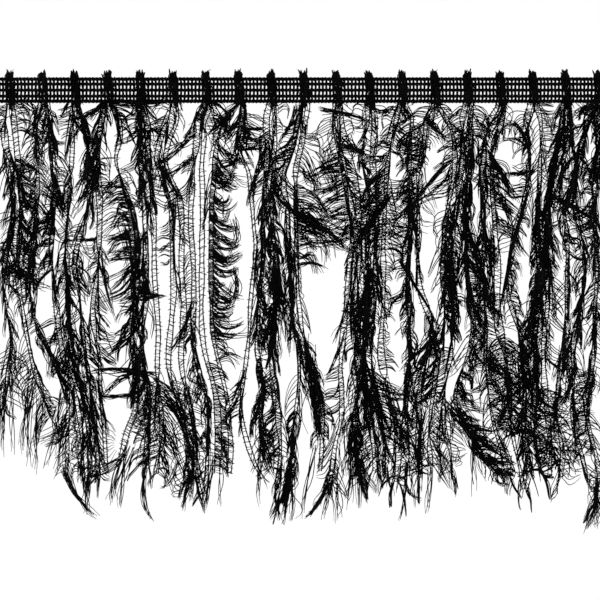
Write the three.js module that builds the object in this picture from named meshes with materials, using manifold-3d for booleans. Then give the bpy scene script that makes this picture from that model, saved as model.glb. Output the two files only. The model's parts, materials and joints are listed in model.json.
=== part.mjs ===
// Feather fringe trim: a crochet-knit heading tape that carries doubled lengths of lash yarn.
//
// Each yarn is laid into the tape as a hairpin: it turns round just above the top edge, its two
// legs cross the front of the tape, and both its ends hang down as a pair of strands.
//
// Millimetres. X runs along the tape, +Z is up and the front of the trim faces -Y.
// The origin is the centre of the heading's flat back face, which is the plane y = 0.

import * as THREE from 'three';
import { mergeVertices } from 'three/addons/utils/BufferGeometryUtils.js';
import Module from 'manifold-3d';

const wasm = await Module();
wasm.setup();

// ---------------------------------------------------------------- driving dimensions

const YARN_COUNT = 19;
const YARN_PITCH = 12.7;
const TRIM_LENGTH = YARN_COUNT * YARN_PITCH;

// The heading: five knitted chains, joined behind each yarn by filling threads.
const INNER_CHAIN_Z = 2.35;
const EDGE_CHAIN_Z = 4.3;
const CHAIN_WIDTH = 1.0;
const TAPE_THICKNESS = 1.0;
const FILLING_WIDTH = 3.4;
const FILLING_THICKNESS = 0.6;

// The knitted-in hairpin of each lash yarn, in front of the tape.
const GAP = 0.3;
const YARN_WIDTH = 1.0;
const LEG_SPREAD = 1.2;
const LOOP_RISE = 1.0;

// The hanging strands, and the line below the tape that they swing about.
const STRAND_DIAMETER = 1.8;
const STRAND_SIDES = 8;
const STRAND_STEPS = 14;
const DEPTH_SWAY = 1.5;
const SWING_Z = -6.2;

// ---------------------------------------------------------------- derived places

const YARN_PLANE_Y = -(TAPE_THICKNESS + GAP + YARN_WIDTH / 2);
const TAPE_EDGE_Z = EDGE_CHAIN_Z + CHAIN_WIDTH / 2;
const STRAND_TOP_Z = SWING_Z - GAP;

// Where along the tape each yarn is laid in, counted from the left.
function yarnX(index) {
  return (index - (YARN_COUNT - 1) / 2) * YARN_PITCH;
}

// ---------------------------------------------------------------- strand routes
//
// How each strand hangs, as [x, z] points from its top to its cut end. Yarns run from left to
// right, and every strand stays on its own side of its neighbours, so each pair can swing freely.

const STRAND_ROUTES = [
  {
    left: [
      [-115.5, -6.5], [-116.5, -14], [-116, -22], [-113.7, -30], [-113.2, -45], [-115, -60],
      [-117, -75], [-115, -88], [-113.6, -98], [-115, -110], [-116.8, -122],
    ],
    right: [
      [-113.1, -6.5], [-112.4, -15], [-110.9, -30], [-109.9, -45], [-110.8, -60], [-111.4, -72],
      [-109.5, -85], [-107.8, -96], [-105.6, -106], [-102.4, -117], [-98.5, -127],
    ],
  },
  {
    left: [
      [-102.8, -6.5], [-104.5, -14], [-103.6, -25], [-103.8, -38], [-104.5, -50], [-105.5, -62],
      [-106.6, -75], [-104.9, -88], [-101, -98], [-96.6, -107.5], [-93, -114.5], [-91, -124],
      [-92, -136], [-92.3, -150],
    ],
    right: [
      [-100.4, -6.5], [-98.6, -16], [-98.2, -28], [-97, -40], [-97.5, -52], [-98.3, -64],
      [-96.8, -77], [-96, -88], [-94.4, -100], [-92.9, -107], [-90.1, -114.5], [-87.9, -124],
      [-86.6, -136], [-86.2, -150],
    ],
  },
  {
    left: [
      [-90.1, -6.5], [-89.9, -15], [-90.6, -30], [-91.4, -42], [-92.2, -54], [-93, -66],
      [-92.2, -78], [-91.3, -90], [-90.7, -101], [-89.6, -107], [-87, -114.5], [-85, -124],
      [-83.6, -136], [-83.2, -150],
    ],
    right: [
      [-87.7, -6.5], [-86.2, -13], [-84, -22], [-83.2, -34], [-84.2, -46], [-87.6, -58],
      [-89.4, -68], [-87.8, -77], [-86.6, -88], [-85.6, -98], [-84.4, -110], [-82.2, -122],
      [-80.7, -136], [-80, -150],
    ],
  },
  {
    left: [
      [-77.4, -6.5], [-79.5, -16], [-80.3, -30], [-79.6, -45], [-79.9, -60], [-80.6, -72],
      [-82.2, -84], [-81.4, -94], [-79.6, -104], [-79, -120], [-77.9, -130], [-77.3, -140],
      [-77, -148],
    ],
    right: [
      [-75, -6.5], [-72, -12], [-71.6, -19], [-73.2, -27], [-71.3, -34], [-68.8, -41],
      [-66.4, -48], [-65.1, -58], [-64.8, -68], [-65.4, -80], [-66.8, -92], [-66.6, -104],
      [-65.2, -113], [-65.7, -124], [-69, -133], [-71, -142],
    ],
  },
  {
    left: [
      [-64.7, -6.5], [-63.5, -15], [-63.9, -25], [-63.2, -35], [-62.4, -45], [-61.8, -58],
      [-61.4, -68], [-61.2, -80], [-62.6, -92], [-62.2, -104], [-60.8, -113], [-60, -123],
      [-61.2, -133], [-61.2, -146],
    ],
    right: [
      [-62.3, -6.5], [-60.8, -15], [-60.8, -25], [-59.8, -36], [-58.9, -47], [-58.4, -58],
      [-58.3, -70], [-57.6, -82], [-56.8, -94], [-57.2, -105], [-57, -115], [-55.6, -125],
      [-56, -137], [-57.2, -149],
    ],
  },
  {
    left: [
      [-52, -6.5], [-52.9, -11], [-55.6, -18], [-57.3, -26], [-55.7, -33], [-52.8, -42],
      [-51.6, -54], [-51.4, -66], [-50.8, -78], [-51.7, -90], [-52.8, -104], [-51.8, -113],
      [-49, -121], [-47, -129], [-45.6, -139], [-45.8, -148], [-46.8, -156],
    ],
    right: [
      [-49.6, -6.5], [-49.5, -12], [-52.3, -19], [-54, -27], [-51.8, -34.5], [-48.4, -42.5],
      [-47.6, -56], [-47.8, -70], [-46.9, -83], [-47.6, -95], [-47.9, -106], [-46.2, -116],
      [-43.9, -126], [-42.6, -138], [-43, -150],
    ],
  },
  {
    left: [
      [-39.3, -6.5], [-41.5, -12], [-41.9, -20], [-43, -30], [-43.6, -38], [-44.2, -46],
      [-44.2, -54], [-43.4, -64], [-43, -75], [-43.2, -88], [-43.2, -98], [-41.7, -106],
      [-39.7, -113], [-37.8, -121], [-37.4, -131], [-37.7, -142], [-38.5, -156],
    ],
    right: [
      [-36.9, -6.5], [-38.8, -13], [-39.2, -21], [-39.9, -30], [-39.6, -38], [-39.6, -48],
      [-39.8, -60], [-39.9, -72], [-40.1, -84], [-40, -92], [-39.1, -100], [-37.5, -107],
      [-35.8, -113], [-34.2, -121], [-33.6, -131], [-33.6, -141], [-34, -149],
    ],
  },
  {
    left: [
      [-26.6, -6.5], [-30.3, -10], [-32.7, -15], [-34.2, -22], [-35.1, -30], [-35.5, -37],
      [-36.1, -44], [-36.3, -55], [-36.4, -70], [-36.2, -84], [-35.7, -94], [-34, -103],
      [-32, -111], [-30.2, -119], [-29.3, -129], [-28.6, -139], [-29.2, -149],
    ],
    right: [
      [-24.2, -6.5], [-24.3, -12], [-25.8, -19], [-24.5, -26], [-21.8, -32], [-20.6, -42],
      [-19.8, -52], [-19, -62], [-20.1, -73], [-21.1, -84], [-21.6, -95], [-22.7, -105],
      [-24.1, -115], [-24.7, -126], [-22.8, -135], [-19.8, -144], [-16.2, -151],
    ],
  },
  {
    left: [
      [-13.9, -6.5], [-14.9, -12], [-14.5, -22], [-14.9, -32], [-15.7, -42], [-16.3, -52],
      [-15.9, -62], [-16.6, -72], [-17.6, -82], [-18.1, -92], [-18.4, -100], [-17.2, -108],
      [-15.8, -115], [-16.9, -124], [-17.4, -131], [-15.2, -139], [-12.9, -147],
    ],
    right: [
      [-11.5, -6.5], [-11.1, -13], [-11.7, -22], [-12.1, -32], [-12.8, -42], [-12.4, -54],
      [-11, -66], [-11, -78], [-11.6, -88], [-12.8, -98], [-13, -106], [-11.6, -113],
      [-10.6, -121], [-10.1, -130], [-9.4, -138], [-9.8, -147], [-10.6, -155],
    ],
  },
  {
    left: [
      [-1.2, -6.5], [-2.8, -13], [-4.4, -22], [-7.4, -30], [-8.2, -37], [-6.8, -45],
      [-6.3, -56], [-5.9, -68], [-5.5, -80], [-4.5, -90], [-2.8, -98], [-2.1, -106],
      [-2.3, -114], [-3.1, -122], [-4.5, -131], [-5.3, -141], [-6.7, -152], [-7.3, -158],
    ],
    right: [
      [1.2, -6.5], [0, -14], [-1.4, -22], [-3.4, -31], [-3.5, -41], [-3.3, -52],
      [-3.1, -66], [-2.5, -80], [-1.3, -91], [0.6, -99], [2.6, -107], [5, -114],
      [6.9, -121], [6.6, -129], [6.7, -138], [6, -148],
    ],
  },
  {
    left: [
      [11.5, -6.5], [11.4, -13], [12.6, -22], [14.6, -30], [16.6, -41], [17.8, -52],
      [17.8, -63], [16.9, -74], [15.9, -86], [14.7, -97], [13.9, -108], [14.4, -118],
      [14.1, -128], [12, -137], [10.4, -147], [8.8, -157],
    ],
    right: [
      [13.9, -6.5], [14.5, -13], [16, -22], [17.8, -30], [19.7, -40], [20.9, -50],
      [21.2, -62], [20.7, -74], [20.1, -86], [19.7, -98], [19.3, -110], [20, -118],
      [19.6, -128], [20, -140], [22, -150],
    ],
  },
  {
    left: [
      [24.2, -6.5], [24.5, -13], [22.9, -20], [22.3, -26], [23.6, -33], [25.2, -41],
      [24.6, -50], [24.3, -60], [24.7, -70], [24.4, -82], [23.3, -94], [23, -106],
      [23.6, -116], [25, -127], [26.6, -138], [27.4, -148],
    ],
    right: [
      [26.6, -6.5], [27.3, -13], [26.5, -21], [26.5, -30], [28, -40], [27.6, -50],
      [27.1, -60], [27.5, -71], [27.3, -83], [26.2, -95], [26.1, -106], [27.4, -116],
      [29.4, -127], [31, -138], [31.4, -149],
    ],
  },
  {
    left: [
      [36.9, -6.5], [34.9, -14], [33.4, -22], [32.1, -31], [31.5, -40], [31, -50],
      [30.5, -62], [30.7, -74], [30.4, -86], [29.6, -96], [29.8, -104], [31.4, -113],
      [33.6, -121], [35.6, -131], [36.4, -142], [35.6, -152],
    ],
    right: [
      [39.3, -6.5], [41.6, -11], [41.1, -18], [40.5, -28], [40.6, -40], [41.2, -52],
      [40.2, -64], [40, -76], [40.8, -88], [40.7, -100], [40.2, -110], [39.7, -120],
      [40, -130], [40.5, -141], [40, -150],
    ],
  },
  {
    left: [
      [49.6, -6.5], [47.3, -11], [46.6, -18], [45.3, -26], [44, -33], [44, -44],
      [44.1, -56], [43.9, -68], [44.7, -77], [47.6, -85.5], [49.4, -91.5], [48.6, -99],
      [46, -107], [44.5, -117], [44.2, -128], [44.6, -140], [45.2, -150],
    ],
    right: [
      [52, -6.5], [54.8, -11], [57, -16], [58.2, -24], [57.8, -33], [55.8, -44],
      [54.2, -54], [53.6, -64], [53.8, -76], [54.3, -87], [53.4, -97], [51.6, -106],
      [50.3, -116], [48.8, -126], [48.3, -136], [49, -146],
    ],
  },
  {
    left: [
      [62.3, -6.5], [61.3, -12], [61.5, -20], [61.1, -30], [59.5, -41], [58, -53],
      [57.3, -65], [57.3, -77], [57.7, -88], [56.9, -100], [55.4, -110], [54, -120],
      [54.2, -131], [56.4, -140], [57.2, -150],
    ],
    right: [
      [64.7, -6.5], [64.2, -14], [64.4, -24], [63.9, -35], [62.6, -46], [62.2, -58],
      [62.9, -70], [64, -80], [65.6, -90], [64.5, -99], [61.8, -107], [59.2, -114],
      [58.6, -121], [61.4, -130], [66, -136.5], [69.8, -143], [74.2, -148],
    ],
  },
  {
    left: [
      [75, -6.5], [71.9, -12], [70.1, -20], [69.4, -28], [69.2, -38], [70, -48],
      [69.7, -60], [69.6, -72], [69.8, -84], [70.4, -94], [70, -104], [70.8, -114],
      [72.2, -124], [74.2, -133], [77.2, -142], [78.6, -150],
    ],
    right: [
      [77.4, -6.5], [76.3, -13], [73.7, -20], [72.6, -29], [72.6, -38], [73.4, -49],
      [74, -58], [74.8, -69], [74.6, -80], [75.3, -91], [77.2, -100], [78.9, -108],
      [79.8, -118], [79.9, -128], [81.6, -138], [83.6, -147], [84.8, -155],
    ],
  },
  {
    left: [
      [87.7, -6.5], [86.6, -13], [87.4, -21], [86.9, -32], [85.3, -42], [82.3, -52],
      [79.9, -62], [78.6, -71], [79.3, -81], [82.2, -91], [84, -101], [85, -111],
      [85.4, -121], [84.9, -131], [86.4, -141], [88.2, -150],
    ],
    right: [
      [90.1, -6.5], [91.6, -13], [91.4, -24], [90.9, -36], [90.4, -48], [90.2, -60],
      [90.8, -72], [90.8, -84], [89.6, -95], [89.3, -106], [89.2, -117], [88.9, -128],
      [89.9, -138], [91.6, -149],
    ],
  },
  {
    left: [
      [100.4, -6.5], [99.7, -13], [98.9, -20], [96.4, -28], [95, -38], [94.4, -50],
      [94, -62], [94.3, -74], [94.1, -85], [92.9, -95], [92.6, -106], [93.2, -117],
      [94.2, -128], [95.4, -139], [95, -150],
    ],
    right: [
      [102.8, -6.5], [102.6, -14], [101.9, -22], [99.6, -31], [99.5, -42], [101.2, -52],
      [102, -64], [101.8, -76], [101.6, -86], [100.3, -96], [99.6, -106], [98.3, -116],
      [97.8, -125], [99, -133], [100.2, -142], [99.2, -151],
    ],
  },
  {
    left: [
      [113.1, -6.5], [109.6, -14], [107, -24], [105.2, -34], [105.1, -46], [107.3, -56],
      [108.9, -66], [108.2, -77], [106.6, -86], [104.6, -96], [104, -106], [104.3, -115],
      [103.5, -123], [104.8, -132], [107.2, -141], [109.5, -151],
    ],
    right: [
      [115.5, -6.5], [115.2, -16], [113.6, -28], [112.2, -40], [112.7, -54], [113.4, -66],
      [113, -78], [112.3, -90], [112.4, -102], [110.8, -112], [109, -121], [110.5, -131],
      [113.2, -142], [114.8, -153], [113, -162],
    ],
  },
];

// ---------------------------------------------------------------- materials

function headingYarn() {
  return new THREE.MeshStandardMaterial({ color: 0x0c0c0d, roughness: 0.82, metalness: 0 });
}

function lashYarn() {
  return new THREE.MeshStandardMaterial({ color: 0x08080a, roughness: 0.68, metalness: 0 });
}

// ---------------------------------------------------------------- heading tape

// A box from its centre and size, as a manifold solid.
function bar(x, z, length, thickness, height) {
  const box = new THREE.BoxGeometry(length, thickness, height);
  box.translate(x, -TAPE_THICKNESS / 2, z);
  box.deleteAttribute('normal');
  box.deleteAttribute('uv');
  const merged = mergeVertices(box);
  const mesh = new wasm.Mesh({
    numProp: 3,
    vertProperties: new Float32Array(merged.attributes.position.array),
    triVerts: new Uint32Array(merged.index.array),
  });
  return new wasm.Manifold(mesh);
}

// The three inner chains, joined by the filling threads that cross them at each yarn. The net stops
// short of the two edge chains, and the chains' backs are the flat face that the trim is fixed by.
function headingNet() {
  let net = bar(0, 0, TRIM_LENGTH, TAPE_THICKNESS, CHAIN_WIDTH);
  net = net.add(bar(0, INNER_CHAIN_Z, TRIM_LENGTH, TAPE_THICKNESS, CHAIN_WIDTH));
  net = net.add(bar(0, -INNER_CHAIN_Z, TRIM_LENGTH, TAPE_THICKNESS, CHAIN_WIDTH));

  const netHeight = 2 * (EDGE_CHAIN_Z - CHAIN_WIDTH / 2 - GAP);
  for (let index = 0; index < YARN_COUNT; index += 1) {
    net = net.add(bar(yarnX(index), 0, FILLING_WIDTH, FILLING_THICKNESS, netHeight));
  }

  const { vertProperties, triVerts } = net.getMesh();
  const geometry = new THREE.BufferGeometry();
  geometry.setAttribute('position', new THREE.BufferAttribute(vertProperties, 3));
  geometry.setIndex(new THREE.BufferAttribute(triVerts, 1));
  geometry.computeVertexNormals();
  const mesh = new THREE.Mesh(geometry, headingYarn());
  mesh.name = 'heading_net';
  return mesh;
}

// One edge of the tape: a firmer chain, eight-sided, with a flat of its own in the back plane.
function edgeChain(name, z) {
  const sides = 8;
  const cornerRadius = CHAIN_WIDTH / 2 / Math.cos(Math.PI / sides);
  const geometry = new THREE.CylinderGeometry(cornerRadius, cornerRadius, TRIM_LENGTH, sides);
  geometry.rotateY(Math.PI / sides);
  geometry.rotateZ(Math.PI / 2);
  const mesh = new THREE.Mesh(geometry, headingYarn());
  mesh.name = name;
  mesh.position.set(0, -CHAIN_WIDTH / 2, z);
  return mesh;
}

// ---------------------------------------------------------------- lash yarns

// The hairpin of one yarn: two legs that cross the tape and the turn above its top edge.
function yarnLoop(name, x) {
  const outer = LEG_SPREAD + YARN_WIDTH / 2;
  const inner = LEG_SPREAD - YARN_WIDTH / 2;
  const turnZ = TAPE_EDGE_Z + LOOP_RISE - inner;
  const chamfer = YARN_WIDTH / 4;

  const outline = new THREE.Shape();
  outline.moveTo(outer, -TAPE_EDGE_Z);
  outline.lineTo(outer, turnZ);
  outline.absarc(0, turnZ, outer, 0, Math.PI, false);
  outline.lineTo(-outer, -TAPE_EDGE_Z);
  outline.lineTo(-inner, -TAPE_EDGE_Z);
  outline.lineTo(-inner, turnZ);
  outline.absarc(0, turnZ, inner, Math.PI, 0, true);
  outline.lineTo(inner, -TAPE_EDGE_Z);
  outline.closePath();

  const geometry = new THREE.ExtrudeGeometry(outline, {
    depth: YARN_WIDTH - 2 * chamfer,
    curveSegments: 4,
    bevelEnabled: true,
    bevelSegments: 1,
    bevelThickness: chamfer,
    bevelSize: chamfer,
    bevelOffset: -chamfer,
  });
  geometry.rotateX(Math.PI / 2);
  geometry.translate(0, YARN_WIDTH / 2 - chamfer, 0);

  const mesh = new THREE.Mesh(geometry, lashYarn());
  mesh.name = name;
  mesh.position.set(x, YARN_PLANE_Y, 0);
  return mesh;
}

// The section of a strand: a regular polygon.
function strandSection() {
  const section = new THREE.Shape();
  for (let corner = 0; corner < STRAND_SIDES; corner += 1) {
    const turn = (2 * Math.PI * corner) / STRAND_SIDES;
    const x = (STRAND_DIAMETER / 2) * Math.cos(turn);
    const y = (STRAND_DIAMETER / 2) * Math.sin(turn);
    if (corner === 0) section.moveTo(x, y);
    else section.lineTo(x, y);
  }
  section.closePath();
  return section;
}

// A hanging strand. It sways a little towards the front and back as it drops, so that its weight
// stays under the line it swings about; lean is 1 or -1.
function strand(name, route, lean) {
  const endZ = route[route.length - 1][1];
  const points = [];
  for (const [x, z] of route) {
    const drop = (z - STRAND_TOP_Z) / (endZ - STRAND_TOP_Z);
    const y = YARN_PLANE_Y + lean * DEPTH_SWAY * Math.sin(2 * Math.PI * drop);
    points.push(new THREE.Vector3(x, y, z));
  }
  const geometry = new THREE.ExtrudeGeometry(strandSection(), {
    steps: STRAND_STEPS,
    extrudePath: new THREE.CatmullRomCurve3(points, false, 'catmullrom', 0.5),
  });
  const mesh = new THREE.Mesh(geometry, lashYarn());
  mesh.name = name;
  return mesh;
}

// ---------------------------------------------------------------- assembly

const group = new THREE.Group();

group.add(headingNet());
group.add(edgeChain('heading_top_chain', EDGE_CHAIN_Z));
group.add(edgeChain('heading_bottom_chain', -EDGE_CHAIN_Z));

STRAND_ROUTES.forEach((route, index) => {
  const number = String(index + 1).padStart(2, '0');
  group.add(yarnLoop(`yarn_loop_${number}`, yarnX(index)));
  group.add(strand(`strand_${number}_left`, route.left, 1));
  group.add(strand(`strand_${number}_right`, route.right, -1));
});

export default group;
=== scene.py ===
"""Black lash-yarn fringe trim: a knitted heading tape that carries doubled lengths of hairy yarn.

Metres. X runs along the tape, +Z is up, and the front of the trim faces -Y. The origin is the
centre of the heading's flat back face. The camera and the hanging yarns are made first.
"""

import json
import math
import random

import bmesh
import bpy
from mathutils import Matrix, Vector, noise
from mathutils.geometry import interpolate_bezier

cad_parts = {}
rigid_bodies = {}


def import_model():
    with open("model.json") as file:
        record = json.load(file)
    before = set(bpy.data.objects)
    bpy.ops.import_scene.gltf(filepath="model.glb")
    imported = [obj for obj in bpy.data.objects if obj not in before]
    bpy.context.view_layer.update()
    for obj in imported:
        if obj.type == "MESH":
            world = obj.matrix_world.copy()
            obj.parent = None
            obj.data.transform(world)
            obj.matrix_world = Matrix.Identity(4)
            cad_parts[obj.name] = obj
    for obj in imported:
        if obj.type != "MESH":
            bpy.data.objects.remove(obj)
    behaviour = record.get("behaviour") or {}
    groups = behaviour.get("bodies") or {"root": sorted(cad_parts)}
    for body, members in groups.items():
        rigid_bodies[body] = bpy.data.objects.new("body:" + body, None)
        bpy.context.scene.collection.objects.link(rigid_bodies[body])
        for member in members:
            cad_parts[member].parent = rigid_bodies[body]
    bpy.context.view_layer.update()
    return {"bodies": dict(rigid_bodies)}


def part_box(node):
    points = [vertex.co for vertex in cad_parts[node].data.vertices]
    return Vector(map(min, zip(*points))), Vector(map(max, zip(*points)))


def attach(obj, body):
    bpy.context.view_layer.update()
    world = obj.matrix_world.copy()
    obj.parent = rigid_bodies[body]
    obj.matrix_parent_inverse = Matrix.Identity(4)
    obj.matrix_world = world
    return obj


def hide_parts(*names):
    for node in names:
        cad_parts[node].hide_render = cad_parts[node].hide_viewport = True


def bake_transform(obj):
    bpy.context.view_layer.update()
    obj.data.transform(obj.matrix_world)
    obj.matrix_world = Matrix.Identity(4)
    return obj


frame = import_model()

scene = bpy.context.scene


# ---- Camera
# It looks straight at the front of the trim through a long lens, level with the middle of the
# fringe, so that the tape runs level across the top and goes on past both sides of the view.

VIEW_WIDTH = 0.2328
VIEW_CENTRE = Vector((-0.0018, -0.0018, -0.0815))
LENS_LENGTH = 200
SENSOR_WIDTH = 36
FARTHEST_VIEW = 20

lens = bpy.data.cameras.new("camera")
lens.lens = LENS_LENGTH
lens.sensor_width = SENSOR_WIDTH
lens.clip_end = FARTHEST_VIEW
camera = bpy.data.objects.new("camera", lens)
scene.collection.objects.link(camera)
camera.location = VIEW_CENTRE - Vector((0, VIEW_WIDTH * LENS_LENGTH / SENSOR_WIDTH, 0))
camera.rotation_euler = (math.radians(90), 0, 0)
scene.camera = camera


# ---- Hanging yarns
# Each laid-in yarn ends in two strands that hang free. A strand is two fine knitted threads side by
# side, joined as a ladder is by its rungs, and every rung runs on past one thread as a long lash.
# The threads are viscose and the lashes are a finer, stiffer filament, all dyed black.

YARN_COUNT = len(frame["bodies"]) - 1
YARN_PITCH = 0.0127
YARN_PLANE_Y = -0.0018
DEPTH_SWAY = 0.0015
THREAD_RADIUS = 0.00024
LOOP_FOOT_Z = -0.0046
STATION = 0.0003

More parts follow.
